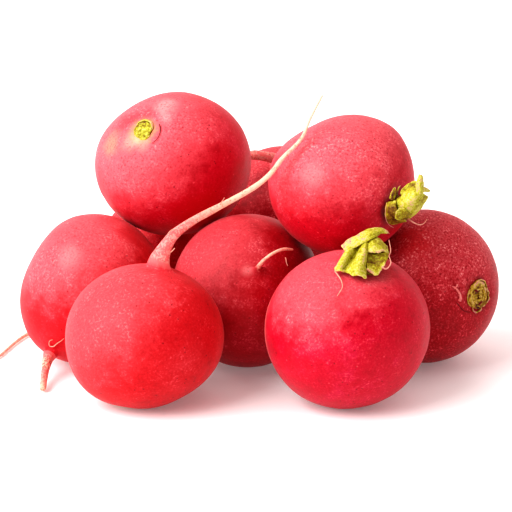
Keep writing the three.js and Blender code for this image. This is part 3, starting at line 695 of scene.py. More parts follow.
# %% The sheets of the tufts
TUFTS = {
    "front_right": {
        "strip": ([
            [(20.4, -2.5, 41.6), (20.9, -4.0, 41.3), (21.5, -4.5, 40.8)],
            [(22.9, -1.5, 43.3), (23.8, -3.5, 42.9), (24.5, -4.5, 42.0)],
            [(25.6, -1.0, 44.7), (26.5, -3.0, 44.2), (27.0, -3.8, 43.3)],
            [(28.0, 0.0, 45.4), (28.6, -1.8, 44.8), (28.8, -2.5, 43.8)],
            [(30.3, 1.0, 45.1), (30.4, 0.0, 44.7), (30.4, -0.5, 44.2)],
            [(32.4, 1.5, 43.8), (32.5, 1.3, 43.7), (32.3, 1.2, 43.5)],
        ], (-0.45, -0.1, 0.0, 0.4, 0.1, -0.8), (-0.2, 0.0, 0.25)),
        "sheet": ([
            [(22.2, -3.0, 41.5), (23.1, -3.5, 42.2), (24.8, -2.5, 42.1),
             (25.8, -3.0, 42.8), (26.5, -3.5, 42.9), (27.5, -2.5, 42.4)],
            [(20.8, -5.0, 40.1), (22.1, -6.0, 40.9), (24.1, -4.0, 40.3),
             (25.1, -5.7, 41.3), (26.0, -6.3, 41.5), (26.9, -4.5, 40.7)],
            [(19.6, -6.2, 38.5), (20.8, -8.0, 39.3), (22.6, -6.0, 38.7),
             (23.9, -8.0, 39.5), (25.3, -8.8, 39.8), (26.5, -6.5, 39.1)],
            [(18.8, -7.8, 37.5), (19.9, -9.4, 37.9), (21.2, -8.2, 37.4),
             (23.2, -9.8, 37.8), (24.8, -10.4, 38.0), (26.4, -8.3, 37.4)],
            [(19.0, -8.6, 36.8), (20.3, -9.8, 37.2), (21.5, -9.4, 37.2),
             (23.4, -10.4, 36.1), (25.0, -10.8, 36.0), (26.4, -10.6, 35.6)],
        ], (0.3, 0.1, 0.0, 0.0, -0.3), (-0.2, 0.0, 0.5, 0.1, 0.0, 0.4)),
        "hood": ([
            [(26.7, 1.0, 36.5), (27.8, 2.0, 36.2), (29.2, 2.5, 36.1), (30.7, 2.0, 36.2), (31.6, 1.0, 36.5)],
            [(26.5, 0.0, 39.9), (27.4, 1.0, 40.3), (28.9, 1.5, 40.4), (30.3, 1.0, 40.3), (31.5, 0.0, 39.9)],
            [(26.5, -1.2, 41.8), (27.3, -1.0, 42.9), (28.9, -0.8, 43.2), (30.3, -0.6, 42.2),
             (31.8, -1.0, 40.8)],
            [(26.5, -3.5, 41.7), (27.5, -4.0, 42.5), (28.9, -4.2, 42.7), (30.4, -3.6, 41.8),
             (31.9, -2.6, 40.5)],
            [(26.4, -5.2, 41.0), (27.7, -6.0, 40.8), (29.3, -6.0, 40.8), (30.7, -5.4, 41.1),
             (31.9, -3.6, 39.6)],
        ], (1.2, 0.8, -0.1, 0.45, -0.35), (0.2, 0.0, 0.0, 0.1, 0.1), 0.04),
        # The hollow's olive-brown is partly the leaf's own colour and partly painted shade under the hood.
        "hollow": ([
            [(26.4, -4.4, 40.5), (27.8, -4.6, 40.3), (29.5, -4.6, 40.3), (30.8, -4.4, 40.6),
             (31.9, -3.0, 40.6)],
            [(26.3, -6.0, 39.4), (27.7, -5.2, 39.2), (29.2, -5.2, 39.2), (30.6, -5.0, 39.5),
             (31.9, -4.2, 39.6)],
            [(26.4, -7.4, 38.3), (27.7, -6.2, 37.9), (29.1, -6.2, 37.9), (30.5, -6.0, 38.4),
             (31.4, -5.4, 38.5)],
            [(26.6, -8.4, 37.6), (27.8, -7.0, 37.2), (29.0, -7.0, 37.2), (30.2, -6.6, 37.9),
             (30.8, -6.4, 38.0)],
        ], (0.5, 0.75, 0.9, 0.4), (0.1, 0.2, 0.1, 0.0, -0.4)),
        "frill": ([
            [(26.3, -7.5, 38.9), (27.6, -6.6, 38.3), (29.0, -6.6, 38.1), (30.2, -6.2, 38.2),
             (31.0, -5.8, 38.8)],
            [(26.4, -8.2, 38.2), (27.5, -8.2, 37.4), (28.9, -8.1, 37.1), (30.0, -7.3, 37.5),
             (31.0, -6.5, 38.3)],
            [(26.4, -8.8, 37.9), (27.5, -9.0, 36.7), (28.8, -8.8, 36.0), (29.9, -7.8, 36.8),
             (30.8, -6.8, 37.9)],
        ], (0.9, 0.3, -0.6), (0.2, -0.3, 0.3, -0.2, -0.6)),
    },
    "top_right": {
        "body": ([
            [(33.5, 13.5, 47.2), (34.3, 13.0, 46.5), (35.3, 13.0, 45.5), (36.0, 13.5, 44.6),
             (36.9, 14.5, 43.5)],
            [(34.0, 11.0, 48.9), (34.9, 9.0, 48.5), (35.9, 8.2, 47.6), (37.1, 9.0, 46.4), (38.2, 11.0, 44.9)],
            [(35.5, 10.0, 50.9), (36.4, 7.8, 50.5), (37.5, 7.0, 49.6), (38.9, 8.0, 48.2), (40.0, 10.5, 46.7)],
            [(37.2, 10.0, 52.5), (38.0, 7.8, 52.0), (39.1, 7.0, 51.1), (40.2, 8.2, 49.9), (41.3, 10.5, 48.5)],
            [(38.7, 10.0, 53.4), (39.4, 8.5, 53.0), (40.3, 8.0, 52.3), (41.4, 9.0, 51.8), (42.4, 10.6, 50.4)],
        ], (0.6, 0.1, 0.0, 0.2, 0.25), (0.5, 0.0, -0.1, 0.3, -0.1), 0.05),
        "tall_prong": ([
            [(39.2, 7.6, 51.6), (39.8, 7.0, 51.6), (40.7, 7.6, 51.9)],
            [(39.1, 7.6, 53.9), (39.8, 7.0, 54.1), (40.7, 7.8, 54.1)],
            [(39.4, 8.0, 55.4), (40.0, 7.4, 55.7), (40.6, 8.0, 55.5)],
            [(39.9, 8.6, 56.6), (40.2, 8.4, 56.8), (40.5, 8.6, 56.6)],
        ], (0.2, 0.0, 0.0, -0.1), (0.0, -0.05, 0.1)),
        "short_prong": ([
            [(39.7, 8.0, 53.4), (39.7, 7.5, 52.6), (39.9, 8.0, 51.6)],
            [(40.9, 8.4, 53.3), (41.0, 8.0, 52.9), (41.1, 8.5, 52.2)],
            [(41.8, 9.0, 52.8), (41.8, 8.8, 52.5), (41.8, 9.0, 52.1)],
            [(42.4, 9.6, 52.3), (42.5, 9.6, 52.1), (42.5, 9.6, 52.0)],
        ], (0.0, -0.1, -0.1, 0.6), (-0.1, 0.0, 0.3)),
        "flap": ([
            [(35.8, 10.5, 49.7), (36.7, 9.5, 50.1), (37.9, 9.5, 50.2), (39.2, 10.0, 50.5),
             (40.2, 10.5, 50.8)],
            [(35.4, 10.5, 50.7), (36.5, 10.5, 51.2), (37.7, 10.5, 51.6), (38.9, 10.5, 52.0),
             (40.2, 10.2, 52.3)],
            [(35.3, 11.0, 51.2), (36.4, 11.5, 52.0), (37.6, 11.5, 52.7), (38.9, 11.5, 53.1),
             (40.0, 10.6, 53.3)],
            [(35.7, 12.0, 51.7), (36.8, 12.3, 52.7), (37.7, 12.3, 53.4), (38.6, 12.3, 53.9),
             (39.8, 11.5, 54.1)],
        ], (0.6, 0.6, 0.45, -0.25), (-0.35, 0.2, 0.45, 0.5, 0.0), 0.05),
        "base": ([
            [(32.0, 10.8, 48.9), (31.8, 10.4, 47.3), (31.9, 10.8, 45.1), (32.7, 12.0, 43.3),
             (34.2, 14.0, 42.4)],
            [(32.9, 10.0, 49.4), (32.9, 9.0, 47.9), (33.2, 9.0, 46.1), (34.2, 10.2, 44.5),
             (35.7, 12.5, 43.2)],
            [(34.3, 9.6, 49.8), (34.6, 8.4, 48.6), (35.0, 8.4, 47.0), (35.9, 9.0, 45.5), (37.3, 11.5, 43.8)],
        ], (0.4, 1.3, 0.8), (-0.6, 0.2, 0.3, 0.4, -0.4)),
        "lobe": ([
            [(35.9, 10.0, 43.9), (36.2, 8.6, 45.2), (37.1, 8.4, 46.0), (38.2, 9.0, 46.5)],
            [(34.6, 8.0, 45.1), (34.9, 7.6, 46.5), (35.8, 7.4, 47.4), (37.0, 7.4, 47.7)],
            [(33.8, 8.2, 45.6), (33.9, 7.4, 47.2), (34.8, 7.0, 48.4), (36.2, 7.0, 48.8)],
        ], (0.9, 0.6, -0.3), (0.1, 0.1, 0.1, 0.0)),
        "left_spike": ([
            [(32.6, 10.0, 50.0), (33.2, 9.6, 49.8), (33.9, 10.0, 50.1)],
            [(33.1, 10.4, 51.4), (33.6, 10.0, 51.3), (34.2, 10.4, 51.4)],
            [(33.9, 11.0, 52.6), (34.0, 11.0, 52.5), (34.1, 11.0, 52.5)],
        ], (0.4, 0.4, -0.7), (-0.9, 1.6, -0.5)),
        "right_spike": ([
            [(34.2, 10.4, 50.3), (34.6, 10.2, 50.3)],
            [(34.6, 11.2, 51.8), (34.9, 11.2, 51.8)],
            [(35.4, 12.6, 52.8), (35.5, 12.6, 52.7)],
        ], (1.9, 1.0, -1.0), (0, 0)),
    },
}

STUB_DENTS = 0.3 * MM
stubs = {}
for number, (name, (radius, height, ripeness)) in enumerate(CROWNS.items()):
    crown, foot = RADISHES[name]["crown"], crown_feet[name]
    parts = [cut_knob(foot, crown, radius * MM, height * MM, ripeness)]
    for index, base in enumerate(LEAF_BASES.get(name, USUAL_LEAF_BASES)):
        parts.append(leaf_base(foot, crown, base, seed=10 * number + index))
    for index, (net, down, across, *torn) in enumerate(TUFTS.get(name, {}).values()):
        places = [[to_frame(spot) for spot in row] for row in net]
        seed = 100 + 10 * number + index
        parts.append(lay_sheet(places, down, across, *torn, seed=seed))
    stubs[name] = join(parts, f"stalks_{name}")
    finish_with(
        stubs[name], "DISPLACE", texture=fine, strength=STUB_DENTS, mid_level=0.5,
        texture_coords="LOCAL",
    )
    smooth(stubs[name])
    print(f"{stubs[name].name}: {len(stubs[name].data.polygons)} faces")

# %% [markdown]
# ## Hairs and scraps
# Fine root hairs and dry threads of leaf lie on and round the radishes. Each is a line
# through a few places, thickened to a thread that tapers to its end.

# %% Drawing hairs
HAIRS = {
    "front_right": [
        (0.2, [(18.9, -8.3, 37.1), (19.7, -9.6, 36.3), (20.4, -10.8, 35.4), (20.6, -11.8, 34.2),
               (20.1, -12.5, 33.4), (19.3, -13.2, 32.4)]),
        (0.2, [(30.2, -7.5, 37.9), (31.0, -7.5, 37.4), (31.9, -6.5, 37.6), (32.4, -5.5, 38.3),
               (32.3, -5.0, 38.9), (32.0, -4.5, 39.7), (32.4, -4.0, 40.8), (32.0, -3.0, 43.3)]),
    ],
    "top_right": [
        (0.2, [(37.3, 10.0, 45.0), (38.3, 9.5, 44.3), (39.0, 9.5, 43.9), (40.0, 10.0, 43.4),
               (40.8, 10.5, 43.3), (41.5, 11.0, 43.6), (42.1, 11.5, 44.4)]),
        (0.12, [(32.3, 10.3, 49.0), (31.8, 10.0, 47.3), (31.9, 10.4, 44.9), (32.7, 11.8, 42.9),
                (34.0, 13.6, 41.6)]),
    ],
    "front_left": [
        (0.14, [(-19.7, 2.6, 44.2), (-20.3, 2.6, 44.3), (-20.9, 2.4, 43.9), (-21.4, 2.2, 43.3),
                (-21.5, 2.2, 42.8)]),
        (0.24, [(-21.9, 2.2, 37.9), (-20.5, 1.2, 39.1), (-19.7, 1.2, 40.0)]),
        (0.14, [(-8.9, 9.1, 48.5), (-8.6, 8.5, 49.3), (-7.9, 8.5, 50.3), (-7.7, 8.8, 50.6)]),
    ],
    "left": [
        (0.17, [(-51.2, 20.2, 8.4), (-50.3, 19.1, 9.5), (-49.3, 18.3, 10.4), (-48.5, 17.8, 11.2)]),
        (0.17, [(-51.2, 20.2, 8.3), (-52.3, 20.7, 8.2), (-52.5, 20.3, 9.2), (-52.1, 19.6, 10.1),
                (-51.5, 19.2, 10.4)]),
    ],
    "middle": [(0.18, [(7.4, 19.4, 32.1), (7.6, 18.9, 31.4), (7.7, 18.7, 30.7), (8.0, 18.4, 30.2)])],
    "right": [
        (0.42, [(51.1, 16.9, 21.5), (51.3, 16.8, 22.3), (51.0, 16.8, 23.5), (50.0, 16.8, 25.0)]),
        (0.3, [(50.0, 16.8, 24.9), (49.2, 16.9, 25.3)]),
        (0.26, [(50.5, 17.4, 25.7), (50.1, 16.9, 24.9)]),
    ],
}
THINNEST = 0.45  # of its thickness, at a hair's end
HAIR_STEP = 0.3 * MM


def draw_hair(thickness, points):
    """A thread through the places, as a mesh."""
    radii = [thickness * MM] * len(points)
    places = walk([to_frame(point) for point in points], radii, HAIR_STEP)
    line = bpy.data.curves.new("hair", "CURVE")
    line.dimensions = "3D"
    line.bevel_depth = thickness * MM
    line.bevel_resolution = 2
    line.use_fill_caps = True
    thread = line.splines.new("POLY")
    thread.points.add(len(places) - 1)
    for number, (place, _) in enumerate(places):
        thread.points[number].co = (*place, 1)
        thread.points[number].radius = 1 - (1 - THINNEST) * number / len(places)
    piece = bpy.data.objects.new("hair", line)
    bpy.context.collection.objects.link(piece)
    only(piece)
    bpy.ops.object.convert(target="MESH")
    return bpy.context.object


hairs = {}
for name, threads in HAIRS.items():
    hairs[name] = join([draw_hair(*thread) for thread in threads], f"hairs_{name}")
    smooth(hairs[name])
print("hairs:", sum(len(threads) for threads in HAIRS.values()))

# %% [markdown]
# ## Creases
# Round some crowns the skin has drawn back and left a crack, and the crown on the right has
# four hollows between its leaf bases. A real groove so fine would take a very dense mesh, so
# each is drawn as a thin thread of dark red painted shade, standing for the shadow inside
# it, that lies deep in the skin or between the bases.

# %% Drawing creases
CREASES = {
    "top_left": [(0.13, [(-24.6, 37.0, 62.2), (-24.3, 36.1, 61.3), (-24.4, 35.1, 60.2),
                         (-24.9, 34.5, 59.2), (-25.5, 34.1, 58.6), (-26.4, 33.9, 57.9)])],
    "right": [
        (0.12, [(50.3, 17.0, 21.0), (51.2, 17.3, 19.9), (52.3, 17.9, 18.6), (54.2, 19.2, 17.6)]),
        (0.3, [(54.9, 20.4, 22.8), (55.4, 20.3, 23.2), (55.9, 20.4, 22.8)]),
        (0.34, [(56.2, 21.0, 19.3), (56.7, 20.9, 19.6), (57.1, 20.9, 20.1)]),
        (0.22, [(54.4, 21.6, 17.7), (54.7, 21.5, 18.0)]),
        (0.22, [(56.4, 21.4, 18.1), (56.9, 21.4, 17.8)]),
    ],
}
creases = {}
for name, threads in CREASES.items():
    creases[name] = join([draw_hair(*thread) for thread in threads], f"crease_{name}")
    smooth(creases[name])
print("creases:", sum(len(threads) for threads in CREASES.values()))

# %% [markdown]
# ## Shader maths in plain words
# A material is a web of nodes. Written node by node it hides its own idea, so two small
# classes let it be written as sums: a Tone is a socket that can be added to, multiplied and
# so on, and each sum adds its Math node. A Finish holds one material and makes any other
# node by its type, its settings and what goes into its sockets.

# %% Tones and finishes
class Tone:
    """A socket that carries a number, a vector or a colour."""

    def __init__(self, finish, socket):
        self.finish, self.socket = finish, socket

    def __add__(self, other):
        return self.finish.maths("ADD", self, other)

    def __sub__(self, other):
        return self.finish.maths("SUBTRACT", self, other)

    def __rsub__(self, other):
        return self.finish.maths("SUBTRACT", other, self)

    def __mul__(self, other):
        return self.finish.maths("MULTIPLY", self, other)

    def __truediv__(self, other):
        return self.finish.maths("DIVIDE", self, other)

    __radd__ = __add__
    __rmul__ = __mul__


class Finish:
    """A material under construction, or another owner of nodes, such as the world."""

    def __init__(self, name, owner=None):
        self.material = owner or bpy.data.materials.new(name)
        self.material.use_nodes = True
        self.nodes = self.material.node_tree.nodes
        self.nodes.clear()

    def node(self, kind, settings=None, sockets=None, out=0):
        """A node of a type, with its settings and its sockets, and one of its outputs."""
        node = self.nodes.new("ShaderNode" + kind)
        for key, value in (settings or {}).items():
            if key == "stops":
                for element, (place, tone) in zip(self.stops(node, len(value)), value):
                    element.position, element.color = place, tone
            else:
                setattr(node, key, value)
        for key, value in (sockets or {}).items():
            if isinstance(value, Tone):
                self.material.node_tree.links.new(value.socket, node.inputs[key])
            else:
                node.inputs[key].default_value = value
        return Tone(self, node.outputs[out]) if node.outputs else node

    def stops(self, node, count):
        while len(node.color_ramp.elements) < count:
            node.color_ramp.elements.new(0.5)
        return node.color_ramp.elements

    def maths(self, operation, first, second=0.0):
        return self.node("Math", {"operation": operation}, {0: first, 1: second})

    def vector(self, operation, first, second, out=0):
        return self.node("VectorMath", {"operation": operation}, {0: first, 1: second}, out)

    def step(self, value, low, high):
        """0 below low, 1 above high and soft between them, or the other way round."""
        return self.node(
            "MapRange", {"interpolation_type": "SMOOTHSTEP"},
            {"Value": value, "From Min": low, "From Max": high},
        )

    def mix(self, first, second, share):
        """The second colour laid over the first, by its share."""
        return self.node("Mix", {"data_type": "RGBA"}, {0: share, 6: first, 7: second}, out=2)

    def cloud(self, place, size, detail, rough, bend=0.0):
        """Noise between 0 and 1 whose blots are about the size given, in metres."""
        return self.node("TexNoise", None, {
            "Vector": place, "Scale": 1 / size, "Detail": detail, "Roughness": rough,
            "Distortion": bend,
        })

    def stretched(self, place, x, y, z):
        return self.node("Mapping", None, {"Vector": place, "Scale": (x, y, z)})

    def number(self, name):
        """A number that was written on every vertex."""
        return self.node("Attribute", {"attribute_name": name}, out=2)

    def surface(self, **sockets):
        shader = self.node("BsdfPrincipled", None, {
            key.replace("_", " "): value for key, value in sockets.items()
        })
        self.node("OutputMaterial", None, {"Surface": shader})
        return self.material


def colour(red, green, blue):
    """A colour as it looks on a screen, 0 to 255, as the light that makes it."""
    light = [
        part / 255 / 12.92 if part <= 10 else ((part / 255 + 0.055) / 1.055) ** 2.4
        for part in (red, green, blue)
    ]
    return (*light, 1.0)


def toned(tint, dark_tone_and_shade):
    """The skin's three reds, moved towards orange or purple and darkened, on some radishes as a painted
    shadow.
    """
    warm = max(0.0, -tint)
    cool = max(0.0, tint)
    dim = 1 - dark_tone_and_shade
    return (
        colour(202 * dim, (5 + 34 * warm) * dim, (34 + 28 * cool) * dim),
        colour(218 * dim, (40 + 36 * warm) * dim, (68 + 34 * cool) * dim),
        colour(156 * dim, (2 + 12 * warm) * dim, (16 + 20 * cool) * dim),
    )


# %% [markdown]
# ## The colours of a radish
# Radish skin is a thin crimson layer over white flesh. Where it is thin the white shows
# through, so the red is never even. It pales to cream round some crowns, and the root fades
# from the skin's red over pink to the cream of bare root. What only one radish has, such as
# a dry patch, is a mark with a place in the heap, a size, a colour and a strength. Some marks
# are painted light instead: deep red painted shade where a bulb lies against its neighbours,
# and pale pink painted highlights on the sides that face the light.

# %% The colours and the marks
CREAM = colour(246, 210, 178)
# a dry pink, which some marks also lay as a painted highlight
DRY_PINK_AND_HIGHLIGHT = colour(238, 172, 170)
ORANGE_CREAM = colour(240, 156, 120)
PALE_CREAM = colour(222, 156, 116)
ROOT_PINK = colour(236, 118, 118)
ROOT_CREAM = colour(250, 206, 178)
CHALK = colour(240, 184, 172)  # dry skin that peels in flakes
PORE = colour(104, 4, 18)
ROOT_SPECK = colour(140, 84, 52)
FLECK = colour(240, 100, 112)
FRESH_RED = colour(216, 44, 60)
# painted highlight: the paler pink laid on the side of each bulb that faces the light
HIGHLIGHT_PINK = colour(232, 108, 118)
# painted shade: the deep red of a dimple's shadowed wall round a crown
CROWN_SHADE_RED = colour(128, 0, 8)
# painted shade: a clean deep red where a bulb faces its neighbours and lies in their shadow
PAINTED_SHADE_RED = colour(196, 0, 24)

HALOS = {"top_left": (4.5, PALE_CREAM, 0.75)}  # a pale ring round the crown, in millimetres
CROWN_PAINTED_SHADE = {"top_right": 7.5, "right": 5.5}  # painted shade: a dark ring round it, where the dimple's wall lies in shadow
BARE_ROOTS = {  # millimetres along the root, from where it pales to where it is cream
    "front_left": (7, 26), "left": (4, 16), "middle": (-0.5, 2), "back": (5, 26),
    "back_left": (-2, 2),
}
USUAL_BARE_ROOT = (1, 9)
ROOT_BANDS = {"left": [(2.4, 5.4), (13.0, 14.2)]}  # where old side roots ring a root
ROOT_REACH = {"middle": -0.3}  # how far the root's pink spreads over the bulb, in millimetres
SPECKLES = {"front_left": 0.6, "front_right": 0.65, "middle": 0.6, "left": 0.75, "right": 1.5}
SPECKLES_OFF_HIGHLIGHT = {"top_left": 0.55, "top_right": 0.7, "left": 0.6}  # the speckles' share off the painted highlight
MARKS = {
    "top_left": [
        # The first mark is a painted highlight: a pale pink patch on top.
        ((-23.3, 42.6, 65.8), 4.6, DRY_PINK_AND_HIGHLIGHT, 0.6), ((-22.9, 38.6, 63.7), 2.6, DRY_PINK_AND_HIGHLIGHT, 0.45),
        ((-33.8, 42.4, 61.4), 4.2, FRESH_RED, 0.5), ((-30.7, 41.7, 63.2), 3.4, FRESH_RED, 0.5),
        ((-27.6, 40.9, 64.1), 3.4, FRESH_RED, 0.4), ((-37.2, 40.4, 56.2), 4.8, ORANGE_CREAM, 0.5),
        ((-32.0, 36.8, 58.0), 3.8, CREAM, 0.3), ((-29.4, 35.0, 58.0), 3.4, CREAM, 0.3),
        # Painted shade: deep red on the underside, where it lies over its neighbours.
        ((-16.9, 34.0, 39.0), 9.0, PAINTED_SHADE_RED, 0.7), ((-11.8, 34.8, 41.5), 8.0, PAINTED_SHADE_RED, 0.6),
    ],
    "top_right": [
        # A painted highlight of pale pink on the side towards the light, and painted shade of deep red where
        # it faces the upper left radish.
        ((13.7, 11.0, 55.7), 5.0, DRY_PINK_AND_HIGHLIGHT, 0.22), ((8.4, 13.4, 47.4), 6.0, PAINTED_SHADE_RED, 0.35),
    ],
    "middle": [((-2.2, 15.0, 30.2), 2.2, DRY_PINK_AND_HIGHLIGHT, 0.3)],
    # Painted shade: deep red on the side beside the upper right radish's bundle.
    "right": [((40.0, 23.6, 35.4), 7.0, PAINTED_SHADE_RED, 0.7)],
    "left": [
        # A painted highlight of pale pink on the side towards the light, and painted shade of deep red where
        # it lies against the upper left radish.
        ((-46.8, 21.4, 32.2), 5.0, DRY_PINK_AND_HIGHLIGHT, 0.25), ((-32.0, 29.8, 34.9), 6.0, PAINTED_SHADE_RED, 0.5),
    ],
}
print("marks:", sum(len(marks) for marks in MARKS.values()))

# %% [markdown]
# ## The red of the skin
# All of the unevenness is noise at three sizes, read at the places on the piece in metres:
# broad clouds, patches and grain. From large to small come paler and deeper clouds, a
# painted highlight of paler pink on the side that faces the light, pale speckles that gather
# in patches, dark pores and a few hair-thin scuffs. Each is laid over what is there, so the
# order matters.

# %% Making the red
CLOUD = 12 * MM
PATCH = 3.0 * MM
GRAIN = 0.55 * MM
HIGHLIGHT_END = 0.85  # of the way to the painted highlight's own side, where it is strongest
PORES = (1.7 * MM, 0.28 * MM, 0.45)  # how far apart, how large and how many of the places
FLECKS = (2.1 * MM, 0.3 * MM, 0.4)
SCUFF_LINES = 9 * MM


def scattered(paint, seat, spacing, size, share):
    """Small round spots, one in some of the cells of a scatter, 1 inside and 0 between."""
    cells = {"Vector": seat, "Scale": 1 / spacing, "Randomness": 1.0}
    gap = paint.node("TexVoronoi", {"feature": "F1"}, cells, out=0)
    luck = paint.node("TexVoronoi", {"feature": "F1"}, cells, out=1)
    luck = paint.node("SeparateColor", None, {0: luck})
    edge = size / spacing
    return paint.step(gap, edge, edge * 0.5) * paint.step(luck, 1 - share, 1.04 - share)


def painted_highlight_mask(paint, radish, middle, seat, noises):
    """A painted highlight: 1 on the side of the bulb that faces the light, 0 on the far side."""
    broad, patchy, _ = noises
    way, _, edge = radish["painted_highlight"]
    facing = paint.vector("NORMALIZE", paint.vector("SUBTRACT", seat, tuple(middle)), (0, 0, 0))
    side = paint.vector("DOT_PRODUCT", facing, tuple(Vector(way).normalized()), out=1)
    return paint.step(side + (broad - 0.5) * 0.5 + (patchy - 0.5) * 0.5, edge, HIGHLIGHT_END)


def red(paint, name, radish, seat, noises, painted_highlight):
    """The clouds, the painted highlight and the speckles."""
    broad, patchy, grain = noises
    tone, pale, deep = toned(radish["tint"], radish["dark_tone_and_shade"])
    tone = paint.mix(tone, pale, paint.step(broad * 0.6 + patchy * 0.4, 0.48, 0.7) * 0.6)
    tone = paint.mix(tone, deep, paint.step(broad * 0.5 + patchy * 0.5, 0.5, 0.32) * 0.42)
    # The painted highlight: a paler pink on the side that faces the light.
    tone = paint.mix(tone, HIGHLIGHT_PINK, painted_highlight * radish["painted_highlight"][1])
    # On the painted highlight the pale speckles turn a paler pink too, as part of the painted highlight.
    lit = paint.mix(FLECK, DRY_PINK_AND_HIGHLIGHT, painted_highlight)
    gathered = paint.step(broad * 0.35 + patchy * 0.65, 0.46, 0.62) * 0.7 + 0.25
    off_highlight = SPECKLES_OFF_HIGHLIGHT.get(name, 1.0)
    speckle = (painted_highlight * (1 - off_highlight) + off_highlight) * SPECKLES.get(name, 1.0)
    tone = paint.mix(tone, lit, paint.step(grain, 0.5, 0.7) * gathered * speckle * 0.75)
    tone = paint.mix(tone, deep, paint.step(grain, 0.48, 0.3) * speckle * 0.6)
    tone = paint.mix(tone, PORE, scattered(paint, seat, *PORES) * 0.6)
    return paint.mix(tone, FLECK, scattered(paint, seat, *FLECKS) * 0.4)


def scuffed(paint, seat, patchy):
    """Broken hair-thin lines, where a broad noise crosses its middle."""
    ridge = paint.maths("ABSOLUTE", paint.cloud(seat, SCUFF_LINES, 1, 0.4) - 0.5)
    return paint.step(ridge, 0.0045, 0.0015) * paint.step(patchy, 0.56, 0.64)


# %% [markdown]
# ## Crown, marks and root
# Round a crown the skin is paler, or darker with painted shade where the dimple's wall lies in shadow, with a
# ragged edge that the same noises give.
# Down the root the red gives way to pink, then to cream with flakes of dry skin, brown
# specks, and the pale bands where side roots have dropped off.

# %% Making the crown's rings, the marks and the root
def round_the_crown(paint, name, tone, noises):
    _, patchy, grain = noises
    crown_way = paint.number("crown_mm")
    if name in HALOS:
        wide, halo_colour, strength = HALOS[name]
        ragged = crown_way + (patchy - 0.5) * 2.5 + (grain - 0.5) * 5
        tone = paint.mix(tone, halo_colour, paint.step(ragged, wide, 0.6 * wide) * strength)
    if name in CROWN_PAINTED_SHADE:
        wide = CROWN_PAINTED_SHADE[name]
        # Painted shade: the dimple's wall round the crown is darkened as if in shadow.
        drawn = paint.step(crown_way + (patchy - 0.5) * 5, wide, 0.5 * wide)
        tone = paint.mix(tone, CROWN_SHADE_RED, drawn * 0.7)
    return tone


def marked(paint, name, tone, seat, noises):
    _, patchy, grain = noises
    broken = paint.step(grain, 0.36, 0.52) * 0.6 + 0.4
    for spot, wide, mark_colour, strength in MARKS.get(name, []):
        gap = paint.vector("DISTANCE", seat, tuple(to_frame(spot)), out=1)
        ragged = gap / MM + (patchy - 0.5) * wide + (grain - 0.5) * 1.2 * wide
        mark = paint.step(ragged, wide, 0.2 * wide)
        tone = paint.mix(tone, mark_colour, mark * strength * broken)
    return tone


def down_the_root(paint, name, tone, seat, noises):
    _, patchy, grain = noises
    root_way = paint.number("root_mm")
    start, end = BARE_ROOTS.get(name, USUAL_BARE_ROOT)
    near_root = paint.step(root_way + (patchy - 0.5) * 2.5, ROOT_REACH.get(name, -1.6), 0.8)
    tone = paint.mix(tone, ROOT_PINK, near_root * 0.85)
    bare = paint.step(root_way + (grain - 0.5) * 5, start, end)
    tone = paint.mix(tone, ROOT_CREAM, bare * 0.92)
    rings = paint.cloud(seat, 1.1 * MM, 3, 0.7)
    on_root = paint.step(root_way, 0.5, 1.5)
    tone = paint.mix(tone, ROOT_PINK, paint.step(rings, 0.5, 0.34) * on_root * 0.6)
    chalk = paint.step(rings * 0.5 + grain * 0.5, 0.47, 0.58) * on_root
    tone = paint.mix(tone, CHALK, chalk * 0.55)

    specks = scattered(paint, seat, 1.0 * MM, 0.3 * MM, 0.4) * on_root
    for low, high in ROOT_BANDS.get(name, []):
        band = paint.step(root_way, low - 0.6, low + 0.3) * paint.step(root_way, high + 0.6, high)
        tone = paint.mix(tone, CREAM, band * paint.step(grain, 0.46, 0.56) * 0.75)
        specks = specks + band * paint.step(grain, 0.46, 0.38)
    return paint.mix(tone, ROOT_SPECK, specks * 0.5)


# %% [markdown]
# ## The whole skin
# The colour is ready, and the gloss and the feel of it follow the same noises: a dry spot is
# duller, and the grain stands up a little. Light sinks a millimetre into the flesh, which
# softens every shadow on it.

# %% Making the skin
def skin(name, radish, middle):
    paint = Finish(f"skin_{name}")
    seat = paint.node("TexCoord", out=3)
    broad = paint.cloud(seat, CLOUD, 3, 0.5, 0.5)
    patchy = paint.cloud(seat, PATCH, 4, 0.62, 0.3)
    grain = paint.cloud(seat, GRAIN, 3, 0.7)
    noises = (broad, patchy, grain)
    painted_highlight = painted_highlight_mask(paint, radish, middle, seat, noises)
    scuffs = scuffed(paint, seat, patchy)
    tone = red(paint, name, radish, seat, noises, painted_highlight)
    tone = paint.mix(tone, FLECK, scuffs * 0.4)
    tone = round_the_crown(paint, name, tone, noises)
    tone = marked(paint, name, tone, seat, noises)
    tone = down_the_root(paint, name, tone, seat, noises)
    rough = paint.step(patchy, 0.3, 0.75) * 0.12 + grain * 0.08 + painted_highlight * 0.08 + 0.38
    height = patchy * 0.3 + grain * 0.14 - scuffs * 0.1
    bumps = paint.node("Bump", None, {"Strength": 0.45, "Distance": 0.22 * MM, "Height": height})
    return paint.surface(
        Base_Color=tone, Roughness=rough, Normal=bumps, IOR=1.45, Specular_IOR_Level=0.23,
        Sheen_Weight=0.07, Sheen_Roughness=0.4,
        Subsurface_Weight=0.1, Subsurface_Radius=(1.0, 0.25, 0.15), Subsurface_Scale=1.0 * MM,
    )


def dress(pieces, finish):
    """Gives the pieces one finish, in place of whatever they had."""
    for piece in pieces:
        piece.data.materials.clear()
        piece.data.materials.append(finish)


for name, radish in RADISHES.items():
    dress([bulbs[name]], skin(name, radish, middles[name]))
print("skins:", len(bulbs))

